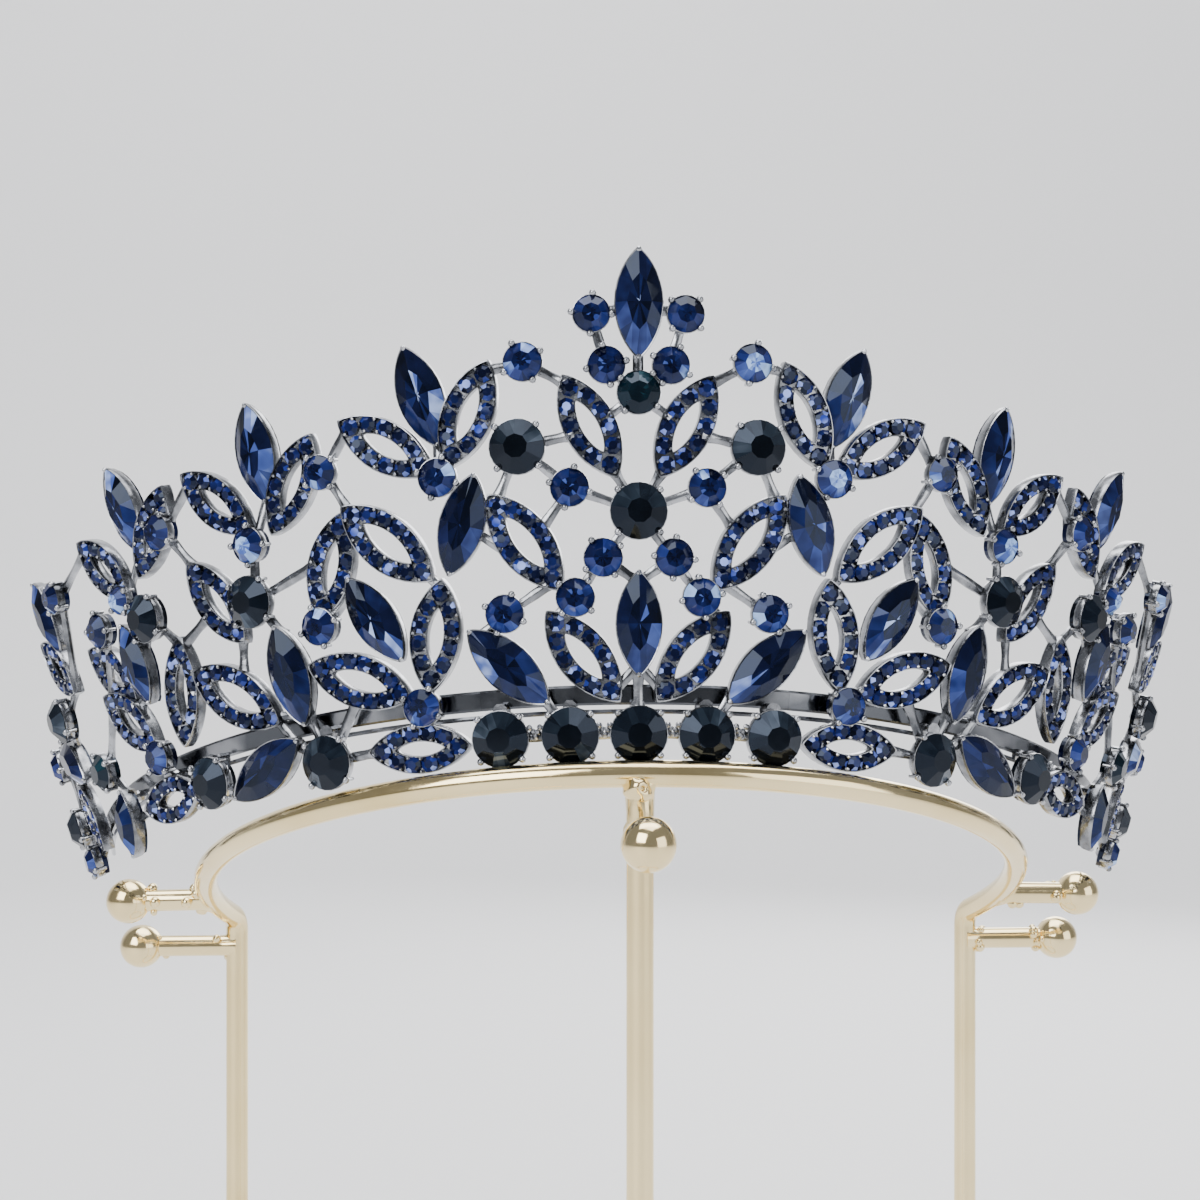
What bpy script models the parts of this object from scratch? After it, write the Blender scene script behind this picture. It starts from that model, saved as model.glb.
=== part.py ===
"""Crystal tiara on a plain wire display stand, in metres with +Z up and the front facing -Y."""
import math

import bmesh
import bpy
from mathutils import Matrix, Vector

MM = 0.001

# Crown: the stones lie on a flared cone that leans back from the front
BASE_RADIUS = 84.5 * MM
CROWN_RISE = 62.0 * MM
FLARE_DEG = 21.0
LEAN_BACK_DEG = 21.6

# Cut stones
BLUE_ROUND = 5.2 * MM
BLACK_ROUND = 7.6 * MM
TEAL_ROUND = 5.8 * MM
NAVETTE_LONG = 14.4 * MM
NAVETTE_WIDE = 6.3 * MM
BLUE_TALL = 1.7 * MM
BLACK_TALL = 2.2 * MM
NAVETTE_TALL = 1.9 * MM
GIRDLE_SHARE = 0.35
TABLE_SHARE = 0.56
ROUND_SIDES = 8
FUSED_SIDES = 8
NAVETTE_STEPS = 4

# Leaves, settings, stems and band of the cast frame
LEAF_LONG = 16.2 * MM
LEAF_WIDE = 6.6 * MM
LEAF_RIM = 2.2 * MM
LEAF_THICK = 1.6 * MM
LEAF_STEPS = 5
LENS_FULL = 0.82
PAD_THICK = 1.2 * MM
PAD_DROP = 0.05 * MM
PAD_INSET = 0.55 * MM
STONE_GAP = 0.3 * MM
STEM_WIDE = 1.3 * MM
STEM_THICK = 0.95 * MM
TIE_WIDE = 0.7 * MM
TIE_THICK = 0.5 * MM
STEM_STAGGER = 0.02 * MM
STAGGER_LEVELS = 7
BACK_SET = 2.3 * MM
BAND_TALL = 2.6 * MM
BAND_THICK = 0.9 * MM
BAND_SET = 2.2 * MM
BAND_END_DEG = 84.0
BAND_STEP_DEG = 6.0
POST_WIDE = 1.7 * MM
WING_GAP = 0.3 * MM
WING_START_DEG = 14.6
WELD = 0.002 * MM
FLAT_DEG = 0.5

# Wire stand
BAR = 3.7 * MM
BAR_SIDES = 8
RAIL_RADIUS = 65.0 * MM
RAIL_HEIGHT = 150.0 * MM
RAIL_END_DEG = 104.0
RAIL_BEND = 5.0 * MM
RAIL_DROP = 0.3 * MM
RAIL_STEPS = 24
RAIL_SET_IN = 1.0 * MM
BALL = 7.2 * MM
BALL_SIDES = 10
BALL_RINGS = 5
PEG_BAR = 3.5 * MM
FRONT_PEG = 14.0 * MM
FRONT_PEG_DROP = 7.8 * MM
SIDE_PEG = 13.8 * MM
SIDE_PEG_DEG = 94.0
LOW_PEG = 16.0 * MM
LOW_PEG_DROP = 1.9 * MM
BASE_STEPS = 24
BUTT_GAP = 0.3 * MM

# Stone sizes by kind: across, tall
STONES = {
    "blue": (BLUE_ROUND, BLUE_TALL),
    "black": (BLACK_ROUND, BLACK_TALL),
    "teal": (TEAL_ROUND, BLUE_TALL),
    "navette": (NAVETTE_WIDE, NAVETTE_TALL),
}

# Centre: name, kind, turn in degrees, rise as a share of CROWN_RISE, lean in degrees,
# size as a share of its kind. A turn other than 0 makes a pair.
CENTRE = (
    ("top_navette", "navette", 0.0, 0.874, 0.0, 1.02),
    ("teal_round", "teal", 0.0, 0.692, 0.0, 1.0),
    ("mid_black", "black", 0.0, 0.452, 0.0, 1.0),
    ("mid_navette", "navette", 0.0, 0.224, 0.0, 0.97),
    ("base_black", "black", 0.0, 0.0, 0.0, 1.0),
    ("crest_round", "blue", 3.45, 0.853, 0.0, 0.96),
    ("neck_round", "blue", 2.42, 0.748, 0.0, 0.96),
    ("arch_round", "blue", 8.65, 0.761, 0.0, 1.0),
    ("high_leaf", "leaf", 3.76, 0.626, 26.8, 0.98),
    ("high_black", "black", 9.44, 0.59, 0.0, 0.98),
    ("inner_round", "blue", 5.46, 0.502, 0.0, 0.98),
    ("mid_leaf", "leaf", 9.32, 0.396, 34.2, 1.02),
    ("side_navette", "navette", 14.3, 0.441, -19.4, 0.97),
    ("pair_round", "blue", 2.92, 0.358, 0.0, 0.98),
    ("foot_round", "blue", 5.3, 0.279, 0.0, 0.98),
    ("outer_round", "blue", 11.3, 0.253, 0.0, 0.98),
    ("low_leaf", "leaf", 4.79, 0.159, 37.6, 0.98),
    ("low_navette", "navette", 11.31, 0.145, 44.2, 1.0),
    ("row_black", "black", 6.17, 0.0, 0.0, 1.0),
    ("end_black", "black", 12.5, 0.0, 0.0, 1.0),
)

# Wing: the same columns, then how far the piece lies behind the others as a share of BACK_SET
WING = (
    ("sprig_1_navette", "navette", 17.0, 0.715, 13.8, 1.0, 1.0),
    ("sprig_1_inner", "leaf", 13.2, 0.665, -26.2, 0.98, 0.0),
    ("sprig_1_outer", "leaf", 20.1, 0.621, 54.7, 0.97, 0.0),
    ("sprig_1_round", "blue", 15.95, 0.542, 0.0, 1.0, 0.0),
    ("link_1_round", "blue", 25.75, 0.591, 0.0, 0.92, 0.0),
    ("fan_leaf", "leaf", 20.97, 0.423, 45.3, 1.05, 0.0),
    ("fan_back_leaf", "leaf", 26.6, 0.395, -22.6, 0.96, 0.35),
    ("fan_round", "blue", 28.1, 0.276, 0.0, 0.98, 0.0),
    ("fan_navette", "navette", 22.85, 0.271, 27.7, 0.95, 0.2),
    ("fan_black", "black", 34.7, 0.36, 0.0, 0.96, 0.0),
    ("fan_side_leaf", "leaf", 39.05, 0.382, 29.2, 0.97, 0.3),
    ("base_up_leaf", "leaf", 17.65, 0.221, -13.0, 0.98, 0.0),
    ("base_out_leaf", "leaf", 25.25, 0.15, 66.3, 1.02, 0.0),
    ("base_round", "blue", 19.45, 0.079, 0.0, 0.98, 0.0),
    ("base_flat_leaf", "leaf", 20.3, -0.005, 88.0, 0.93, 0.0),
    ("base_side_black", "black", 29.7, -0.005, 0.0, 0.98, 0.0),
    ("steep_navette", "navette", 32.1, 0.189, 7.7, 1.0, 0.2),
    ("wide_leaf", "leaf", 38.8, 0.173, 53.8, 1.1, 0.0),
    ("upright_leaf", "leaf", 45.9, 0.221, -16.0, 1.0, 0.2),
    ("base_navette", "navette", 36.6, 0.006, 114.6, 1.0, 0.0),
    ("base_far_black", "black", 44.25, 0.01, 0.0, 0.98, 0.0),
    ("wing_black", "black", 47.75, 0.403, 0.0, 0.92, 0.0),
    ("wing_navette", "navette", 51.15, 0.32, 8.3, 0.88, 0.3),
    ("link_2_round", "blue", 43.2, 0.568, 0.0, 0.98, 0.0),
    ("sprig_2_navette", "navette", 32.1, 0.668, 1.0, 0.98, 1.0),
    ("sprig_2_inner", "leaf", 28.7, 0.58, -35.3, 0.96, 0.0),
    ("sprig_2_outer", "leaf", 36.4, 0.586, 43.1, 0.94, 0.0),
    ("sprig_2_round", "blue", 33.6, 0.477, 0.0, 0.96, 0.0),
    ("sprig_3_navette", "navette", 48.4, 0.66, 11.9, 0.96, 1.0),
    ("sprig_3_inner", "leaf", 44.9, 0.579, -41.2, 0.94, 0.3),
    ("sprig_3_outer", "leaf", 52.3, 0.552, 40.2, 0.94, 0.0),
    ("sprig_3_round", "blue", 50.4, 0.465, 0.0, 0.8, 0.0),
    ("link_3_round", "blue", 55.2, 0.429, 0.0, 0.98, 0.0),
    ("link_4_round", "blue", 62.2, 0.569, 0.0, 0.94, 0.0),
    ("sprig_4_navette", "navette", 67.25, 0.56, 13.7, 0.94, 0.6),
    ("sprig_4_leaf", "leaf", 67.6, 0.435, 40.0, 0.94, 0.0),
    ("tail_leaf", "leaf", 54.8, 0.208, 45.5, 0.98, 0.0),
    ("tail_side_leaf", "leaf", 56.3, 0.33, 44.0, 0.94, 0.3),
    ("tail_round", "blue", 51.15, 0.103, 0.0, 0.98, 0.0),
    ("tail_flat_leaf", "leaf", 51.4, 0.006, 90.0, 0.94, 0.0),
    ("tail_navette", "navette", 60.4, 0.0, -10.0, 0.7, 0.0),
    ("tail_teal", "teal", 63.0, 0.14, 0.0, 0.98, 0.0),
    ("tail_black", "black", 70.9, 0.327, 0.0, 0.92, 0.0),
    ("tail_high_navette", "navette", 73.6, 0.235, 50.0, 0.94, 0.4),
    ("tail_end_leaf", "leaf", 74.6, 0.098, 25.0, 0.9, 0.2),
    ("end_round", "blue", 77.6, 0.005, 0.0, 0.98, 0.0),
    ("end_low_black", "black", 81.4, 0.117, 0.0, 0.88, 0.0),
    ("end_high_round", "blue", 81.0, 0.284, 0.0, 0.96, 0.0),
)

# Stems: piece and its end, then the piece and end that it reaches
CENTRE_STEMS = (
    ("top_navette", "mid", "teal_round", "mid"),
    ("crest_round", "mid", "neck_round", "mid"),
    ("crest_round", "mid", "top_navette", "mid"),
    ("neck_round", "mid", "teal_round", "mid"),
    ("teal_round", "mid", "high_leaf", "left"),
    ("arch_round", "mid", "high_leaf", "tip"),
    ("high_black", "mid", "mid_leaf", "tip"),
    ("high_leaf", "foot", "mid_black", "mid"),
    ("high_black", "mid", "inner_round", "mid"),
    ("inner_round", "mid", "mid_black", "mid"),
    ("inner_round", "mid", "mid_leaf", "left"),
    ("mid_black", "mid", "pair_round", "mid"),
    ("pair_round", "mid", "foot_round", "mid"),
    ("pair_round", "mid", "mid_navette", "tip"),
    ("mid_leaf", "right", "side_navette", "mid"),
    ("foot_round", "mid", "low_leaf", "tip"),
    ("low_leaf", "foot", "mid_navette", "foot"),
    ("mid_navette", "foot", "base_black", "mid"),
    ("outer_round", "mid", "mid_leaf", "foot"),
    ("outer_round", "mid", "low_navette", "tip"),
    ("low_navette", "foot", "row_black", "mid"),
    ("base_black", "mid", "row_black", "mid"),
    ("row_black", "mid", "end_black", "mid"),
)

WING_STEMS = (
    ("sprig_1_outer", "tip", "link_1_round", "mid"),
    ("link_1_round", "mid", "fan_leaf", "tip"),
    ("fan_leaf", "tip", "fan_back_leaf", "tip"),
    ("fan_leaf", "foot", "base_up_leaf", "tip"),
    ("fan_round", "mid", "fan_navette", "tip"),
    ("fan_black", "mid", "fan_back_leaf", "right"),
    ("fan_black", "mid", "sprig_2_round", "mid"),
    ("fan_black", "mid", "steep_navette", "tip"),
    ("fan_side_leaf", "tip", "link_2_round", "mid"),
    ("fan_side_leaf", "foot", "wide_leaf", "left"),
    ("base_flat_leaf", "tip", "base_side_black", "mid"),
    ("base_out_leaf", "right", "base_side_black", "mid"),
    ("base_side_black", "mid", "steep_navette", "foot"),
    ("base_side_black", "mid", "base_navette", "foot"),
    ("wide_leaf", "foot", "steep_navette", "foot"),
    ("wide_leaf", "foot", "base_navette", "foot"),
    ("wide_leaf", "tip", "upright_leaf", "left"),
    ("base_navette", "tip", "base_far_black", "mid"),
    ("upright_leaf", "tip", "wing_black", "mid"),
    ("upright_leaf", "tip", "fan_side_leaf", "right"),
    ("sprig_2_outer", "tip", "link_2_round", "mid"),
    ("sprig_3_round", "mid", "wing_black", "mid"),
    ("sprig_2_navette", "foot", "sprig_2_round", "mid"),
    ("sprig_3_outer", "tip", "link_4_round", "mid"),
    ("link_4_round", "mid", "sprig_4_navette", "mid"),
    ("link_4_round", "mid", "sprig_4_leaf", "foot"),
    ("sprig_4_leaf", "foot", "tail_black", "mid"),
    ("wing_black", "mid", "wing_navette", "mid"),
    ("wing_navette", "foot", "tail_leaf", "left"),
    ("link_3_round", "mid", "tail_leaf", "tip"),
    ("tail_flat_leaf", "tip", "tail_navette", "mid"),
    ("tail_navette", "tip", "tail_teal", "mid"),
    ("tail_leaf", "tip", "tail_teal", "mid"),
    ("tail_teal", "mid", "tail_high_navette", "foot"),
    ("tail_black", "mid", "tail_high_navette", "mid"),
    ("tail_high_navette", "tip", "end_high_round", "mid"),
    ("tail_high_navette", "mid", "tail_end_leaf", "tip"),
    ("tail_end_leaf", "foot", "end_round", "mid"),
    ("end_round", "mid", "end_low_black", "mid"),
    ("end_low_black", "mid", "end_high_round", "mid"),
)

# Ties: the same columns, for pieces that lap over each other, with a thinner bar inside them
WING_TIES = (
    ("sprig_1_inner", "foot", "sprig_1_round", "mid"),
    ("sprig_1_navette", "foot", "sprig_1_round", "mid"),
    ("sprig_3_navette", "foot", "sprig_3_round", "mid"),
    ("link_2_round", "mid", "sprig_3_inner", "tip"),
)

# Wing stones that are pieces of their own
OWN_WING = ("sprig_1_round", "link_1_round", "fan_black", "base_side_black")

# Pieces whose upper side is tied to the band by a post
CENTRE_POSTS = ("base_black", "row_black", "end_black")
WING_POSTS = ("base_flat_leaf", "base_side_black", "base_far_black", "tail_flat_leaf",
              "tail_navette", "end_round")

STONE_COLOURS = {
    "blue": (0.02, 0.07, 0.36, 1.0),
    "black": (0.008, 0.012, 0.02, 1.0),
    "teal": (0.01, 0.06, 0.08, 1.0),
    "navette": (0.015, 0.06, 0.32, 1.0),
}
METAL_COLOUR = (0.16, 0.17, 0.2, 1.0)
GOLD_COLOUR = (0.83, 0.66, 0.36, 1.0)


def crown_back():
    """How far the crown's axis lies behind the rail's axis, so its front seats on the rail."""
    return BASE_RADIUS - RAIL_RADIUS + RAIL_SET_IN


def rail_below():
    """Depth of the rail's centre line below the base row's centre line."""
    return BLACK_ROUND / 2 + STONE_GAP + BAR / 2


def lean_matrix():
    """Turn about X that raises the front, then lift to the stand's height."""
    lift = Matrix.Translation((0.0, 0.0, RAIL_HEIGHT))
    return lift @ Matrix.Rotation(-math.radians(LEAN_BACK_DEG), 4, "X")


def crown_frame(turn, rise, lean, back=0.0):
    """Place on the cone: x across, y along the piece, z out of the crown."""
    turn = math.radians(turn)
    lean = math.radians(lean)
    flare = math.tan(math.radians(FLARE_DEG))
    radius = BASE_RADIUS + flare * rise
    spot = Vector((radius * math.sin(turn), -radius * math.cos(turn) + crown_back(), rise))
    slope = Vector((flare * math.sin(turn), -flare * math.cos(turn), 1.0)).normalized()
    across = Vector((math.cos(turn), math.sin(turn), 0.0))
    out = across.cross(slope)
    along = slope * math.cos(lean) + across * math.sin(lean)
    side = across * math.cos(lean) - slope * math.sin(lean)
    place = Matrix.Identity(4)
    for column, axis in enumerate((side, along, out)):
        for row in range(3):
            place[row][column] = axis[row]
    spot = spot - out * back
    for row in range(3):
        place[row][3] = spot[row]
    return lean_matrix() @ place


def lens(long, wide, steps):
    """Outline of a leaf or navette: pointed at both ends, as (x, y) pairs."""
    half = long / 2
    points = []
    for step in range(2 * steps):
        angle = math.pi * step / steps
        y = -half * math.cos(angle)
        x = wide / 2 * max(0.0, 1.0 - (y / half) ** 2) ** LENS_FULL
        points.append((x if angle < math.pi else -x, y))
    return points


def disc(across, sides):
    """Outline of a round, as (x, y) pairs."""
    turns = [2 * math.pi * (side + 0.5) / sides for side in range(sides)]
    return [(across / 2 * math.sin(-turn), across / 2 * math.cos(turn)) for turn in turns]


def scaled(outline, share):
    return [(x * share, y * share) for x, y in outline]


def add_rings(bm, rings, closed_ends=True):
    """Skin between rings of points; the ends get flat faces."""
    loops = [[bm.verts.new(point) for point in ring] for ring in rings]
    count = len(loops[0])
    for low, high in zip(loops, loops[1:]):
        for i in range(count):
            j = (i + 1) % count
            bm.faces.new((low[i], low[j], high[j], high[i]))
    if closed_ends:
        bm.faces.new(loops[0][::-1])
        bm.faces.new(loops[-1])
    return loops


def finish(bm, name, place=None):
    """Mesh object with outward faces."""
    bmesh.ops.recalc_face_normals(bm, faces=bm.faces[:])
    if place is not None:
        bmesh.ops.transform(bm, matrix=place, verts=bm.verts[:])
    mesh = bpy.data.meshes.new(name)
    bm.to_mesh(mesh)
    bm.free()
    item = bpy.data.objects.new(name, mesh)
    bpy.context.scene.collection.objects.link(item)
    return item


def layered(name, layers, place):
    """Solid through (outline, height) layers."""
    bm = bmesh.new()
    add_rings(bm, [[(x, y, z) for x, y in outline] for outline, z in layers])
    return finish(bm, name, place)


def stone_outline(kind, size, sides):
    across = STONES[kind][0] * size
    if kind == "navette":
        return lens(NAVETTE_LONG * size, across, NAVETTE_STEPS)
    return disc(across, sides)


def cut_stone(name, kind, size, place, low, sides):
    """Faceted stone with a girdle, a crown and a flat table, from the height low up."""
    outline = stone_outline(kind, size, sides)
    seat = LEAF_THICK / 2 + STONE_GAP
    tall = STONES[kind][1]
    girdle = seat + tall * GIRDLE_SHARE
    layers = ((outline, low), (outline, girdle), (scaled(outline, TABLE_SHARE), seat + tall))
    return layered(name, layers, place)


def leaf(name, size, place):
    """Lens-shaped tray with a lens-shaped hole cut through."""
    outer = lens(LEAF_LONG * size, LEAF_WIDE * size, LEAF_STEPS)
    ends = LEAF_RIM * LEAF_LONG / LEAF_WIDE * 0.75
    inner = lens(LEAF_LONG * size - 2 * ends, LEAF_WIDE * size - 2 * LEAF_RIM, LEAF_STEPS)
    bm = bmesh.new()
    low, high = -LEAF_THICK / 2, LEAF_THICK / 2
    rings = [[(x, y, z) for x, y in line] for line, z in
             ((outer, low), (outer, high), (inner, high), (inner, low))]
    loops = add_rings(bm, rings, closed_ends=False)
    count = len(outer)
    for i in range(count):
        j = (i + 1) % count
        bm.faces.new((loops[3][i], loops[3][j], loops[0][j], loops[0][i]))
    return finish(bm, name, place)


def pad(name, kind, size, place):
    """Setting plate under a stone that is a piece of its own."""
    outline = stone_outline(kind, size, FUSED_SIDES)
    across = STONES[kind][0] * size
    outline = scaled(outline, 1.0 - 2 * PAD_INSET / across)
    top = LEAF_THICK / 2 - PAD_DROP
    return layered(name, ((outline, top - PAD_THICK), (outline, top)), place)


def end_point(row, end, side):
    """World point of a piece's middle, tip, foot, left or right, and its place."""
    name, kind, turn, rise, lean, size, back = row
    place = crown_frame(side * turn, rise * CROWN_RISE, side * lean, back * BACK_SET)
    if kind == "leaf":
        long, wide, rim = LEAF_LONG * size, LEAF_WIDE * size, LEAF_RIM
    elif kind == "navette":
        long, wide, rim = NAVETTE_LONG * size, NAVETTE_WIDE * size, NAVETTE_WIDE / 2
    else:
        long, wide, rim = 0.0, 0.0, 0.0
    inset = 0.1 * long
    spots = {
        "mid": (0.0, 0.0),
        "tip": (0.0, long / 2 - inset),
        "foot": (0.0, inset - long / 2),
        "left": (-side * (wide / 2 - rim / 2), 0.0),
        "right": (side * (wide / 2 - rim / 2), 0.0),
    }
    x, y = spots[end]
    return place @ Vector((x, y, 0.0)), place


def stem(name, start, finish_at, place, wide, thick):
    """Straight cast bar from one point to another."""
    run = finish_at - start
    along = run.normalized()
    out = (place.to_3x3() @ Vector((0.0, 0.0, 1.0)))
    side = along.cross(out).normalized()
    out = side.cross(along).normalized()
    half_wide, half_thick = wide / 2, thick / 2
    corners = ((-1, -1), (1, -1), (1, 1), (-1, 1))
    bm = bmesh.new()
    rings = []
    for spot in (start, finish_at):
        rings.append([spot + side * (a * half_wide) + out * (b * half_thick) for a, b in corners])
    add_rings(bm, rings)
    return finish(bm, name)


def band(name, start, stop):
    """Flat strip behind the base row, from one turn angle to another."""
    steps = max(2, math.ceil(abs(stop - start) / BAND_STEP_DEG))
    low = BLACK_ROUND / 2 - BAND_TALL * 0.1
    bm = bmesh.new()
    rings = []
    for step in range(steps + 1):
        turn = start + (stop - start) * step / steps
        ring = []
        for up, back in ((0, 0), (1, 0), (1, 1), (0, 1)):
            place = crown_frame(turn, low + up * BAND_TALL, 0.0, BAND_SET + back * BAND_THICK)
            ring.append(place.to_translation())
        rings.append(ring)
    add_rings(bm, rings)
    return finish(bm, name)


def post(name, turn):
    """Short bar from the band out to the back of a base piece."""
    rise = BLACK_ROUND / 2 - BAND_TALL * 0.1
    place = crown_frame(turn, rise, 0.0)
    half = POST_WIDE / 2
    outline = ((-half, -half), (half, -half), (half, half), (-half, half))
    layers = ((outline, -BAND_SET - BAND_THICK / 2), (outline, LEAF_THICK * 0.2))
    return layered(name, layers, place)


def tidy(mesh):
    """Merge the flat facets that the fusing split, and close up tiny edges."""
    bm = bmesh.new()
    bm.from_mesh(mesh)
    bmesh.ops.remove_doubles(bm, verts=bm.verts[:], dist=WELD)
    bmesh.ops.dissolve_degenerate(bm, edges=bm.edges[:], dist=WELD)
    bmesh.ops.dissolve_limit(bm, angle_limit=math.radians(FLAT_DEG), verts=bm.verts[:],
                             edges=bm.edges[:])
    bm.to_mesh(mesh)
    bm.free()


def fuse(name, items):
    """One closed solid from pieces that overlap."""
    body = items[0]
    others = bpy.data.collections.new(name + "_parts")
    for item in items[1:]:
        others.objects.link(item)
    join = body.modifiers.new("fuse", "BOOLEAN")
    join.operation = "UNION"
    join.solver = "EXACT"
    join.operand_type = "COLLECTION"
    join.collection = others
    join.use_self = True
    graph = bpy.context.evaluated_depsgraph_get()
    mesh = bpy.data.meshes.new_from_object(body.evaluated_get(graph))
    tidy(mesh)
    for item in items:
        bpy.data.objects.remove(item)
    bpy.data.collections.remove(others)
    mesh.name = name
    mesh.materials.clear()
    result = bpy.data.objects.new(name, mesh)
    bpy.context.scene.collection.objects.link(result)
    return result


def pieces(rows, stems, ties, side, own, posts):
    """Frame pieces to fuse, and the stones that stay apart."""
    table = {row[0]: row if len(row) == 7 else row + (0.0,) for row in rows}
    frame, stones = [], []
    for row in table.values():
        name, kind, turn, rise, lean, size, back = row
        sides = (-1, 1) if side == 0 and turn else (side or 1,)
        for hand in sides:
            place = crown_frame(hand * turn, rise * CROWN_RISE, hand * lean, back * BACK_SET)
            if kind == "leaf":
                frame.append(leaf("leaf", size, place))
                continue
            tag = name if not turn else name + ("_r" if hand > 0 else "_l")
            if own is None or name in own:
                frame.append(pad("pad", kind, size, place))
                low = LEAF_THICK / 2 + STONE_GAP
                stone = cut_stone(tag, kind, size, place, low, ROUND_SIDES)
                paint(stone, kind, STONE_COLOURS[kind], 0.0, 0.08)
                stones.append(stone)
            else:
                low = -LEAF_THICK / 4
                frame.append(cut_stone("set_stone", kind, size, place, low, FUSED_SIDES))
    sections = ((stems, STEM_WIDE, STEM_THICK), (ties, TIE_WIDE, TIE_THICK))
    for links, wide, thick in sections:
        for index, (first, end_a, second, end_b) in enumerate(links):
            rows_two = (table[first], table[second])
            hands = (-1, 1) if side == 0 and any(row[2] for row in rows_two) else (side or 1,)
            for hand in hands:
                start, place = end_point(rows_two[0], end_a, hand)
                stop, _ = end_point(rows_two[1], end_b, hand)
                level = index % STAGGER_LEVELS + (0.5 if hand < 0 else 0.0)
                sunk = place.col[2].to_3d() * (STEM_STAGGER * level)
                frame.append(stem("stem", start - sunk, stop - sunk, place, wide, thick))
    for name in posts:
        turn = table[name][2]
        hands = (-1, 1) if side == 0 and turn else (side or 1,)
        frame.extend(post("post", hand * turn) for hand in hands)
    return frame, stones


def paint(item, slot, colour, metal, rough):
    """Material slot with a colour; made once per slot."""
    surface = bpy.data.materials.get(slot)
    if surface is None:
        surface = bpy.data.materials.new(slot)
        surface.use_nodes = True
        shader = surface.node_tree.nodes["Principled BSDF"]
        shader.inputs["Base Color"].default_value = colour
        shader.inputs["Metallic"].default_value = metal
        shader.inputs["Roughness"].default_value = rough
    item.data.materials.clear()
    item.data.materials.append(surface)


def smooth(item):
    item.data.polygons.foreach_set("use_smooth", [True] * len(item.data.polygons))


def sweep(path, across, sides, closed, flat_side):
    """Round bar along a path of points; flat_side points one facet towards that direction."""
    bm = bmesh.new()
    rings = []
    count = len(path)
    for i, spot in enumerate(path):
        before = path[i - 1] if closed or i else spot
        after = path[(i + 1) % count] if closed or i < count - 1 else spot
        run = (after - before).normalized()
        side = run.cross(flat_side).normalized()
        out = side.cross(run).normalized()
        turns = [2 * math.pi * (k + 0.5) / sides for k in range(sides)]
        rings.append([spot + (side * math.sin(t) + out * math.cos(t)) * (across / 2) for t in turns])
    loops = add_rings(bm, rings, closed_ends=not closed)
    if closed:
        for k in range(sides):
            j = (k + 1) % sides
            bm.faces.new((loops[-1][k], loops[-1][j], loops[0][j], loops[0][k]))
    return bm


def ball(name, centre):
    bm = bmesh.new()
    bmesh.ops.create_uvsphere(bm, u_segments=BALL_SIDES, v_segments=BALL_RINGS, radius=BALL / 2)
    return finish(bm, name, Matrix.Translation(centre))


def bar(name, start, stop, across):
    """Straight round bar between two points."""
    run = (stop - start).normalized()
    guide = Vector((0.0, 0.0, 1.0)) if abs(run.z) < 0.9 else Vector((0.0, 1.0, 0.0))
    return finish(sweep([start, stop], across, BAR_SIDES, False, guide), name)


def rail_point(turn_deg):
    """Point of the rail's centre line in the world."""
    turn = math.radians(turn_deg)
    spot = Vector((RAIL_RADIUS * math.sin(turn), -RAIL_RADIUS * math.cos(turn), -rail_below()))
    return lean_matrix() @ spot


def rail_end(hand):
    """End of the arc and the unit direction in which it runs there."""
    here = rail_point(hand * RAIL_END_DEG)
    before = rail_point(hand * (RAIL_END_DEG - 1.0))
    return here, (here - before).normalized()


def rear_leg_xy(hand):
    """Centre of a rear leg, which hangs from the rail's end bend."""
    here, run = rail_end(hand)
    flat = Vector((run.x, run.y, 0.0)).normalized()
    return here + flat * RAIL_BEND * 0.5


def build_rail():
    """C-shaped top rail with both ends bent down, and its two side pegs."""
    path = []
    for step in range(RAIL_STEPS + 1):
        share = 2 * step / RAIL_STEPS - 1
        path.append(rail_point(share * RAIL_END_DEG))
    for hand in (-1, 1):
        here, run = rail_end(hand)
        foot = rear_leg_xy(hand)
        down = Vector((0.0, 0.0, -1.0))
        corner = Vector((foot.x, foot.y, here.z + run.z * RAIL_BEND * 0.5))
        extra = []
        for share in (0.35, 0.7, 1.0):
            one = here.lerp(corner, share)
            two = corner.lerp(corner + down * RAIL_BEND * 0.5, share)
            extra.append(one.lerp(two, share))
        extra.append(Vector((foot.x, foot.y, extra[-1].z - RAIL_DROP)))
        path = path + extra if hand > 0 else extra[::-1] + path
    out = (lean_matrix().to_3x3() @ Vector((0.0, 0.0, 1.0)))
    items = [finish(sweep_rail(path, out), "rail")]
    for hand in (-1, 1):
        turn = math.radians(hand * SIDE_PEG_DEG)
        away = lean_matrix().to_3x3() @ Vector((math.sin(turn), -math.cos(turn), 0.0))
        start = rail_point(hand * SIDE_PEG_DEG)
        items.append(bar("peg", start, start + away * SIDE_PEG, PEG_BAR))
        items.append(ball("ball", start + away * SIDE_PEG))
    return fuse("stand_rail", items), path[-1].z


def sweep_rail(path, out):
    """Sweep whose section turns with the path, so that the bent ends stay round."""
    bm = bmesh.new()
    rings = []
    count = len(path)
    side = None
    for i, spot in enumerate(path):
        before = path[max(i - 1, 0)]
        after = path[min(i + 1, count - 1)]
        run = (after - before).normalized()
        if side is None:
            side = run.cross(Vector((0.0, 1.0, 0.0))).normalized()
        side = (side - run * side.dot(run)).normalized()
        up = side.cross(run).normalized()
        turns = [2 * math.pi * (k + 0.5) / BAR_SIDES for k in range(BAR_SIDES)]
        rings.append([spot + (side * math.sin(t) + up * math.cos(t)) * (BAR / 2) for t in turns])
    add_rings(bm, rings)
    return bm


def base_circle():
    """Centre and radius of the base ring that passes under all three legs."""
    front = rail_point(0.0)
    rear = rear_leg_xy(1)
    centre = (rear.x ** 2 + rear.y ** 2 - front.y ** 2) / (2 * (rear.y - front.y))
    return centre, centre - front.y


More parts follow.
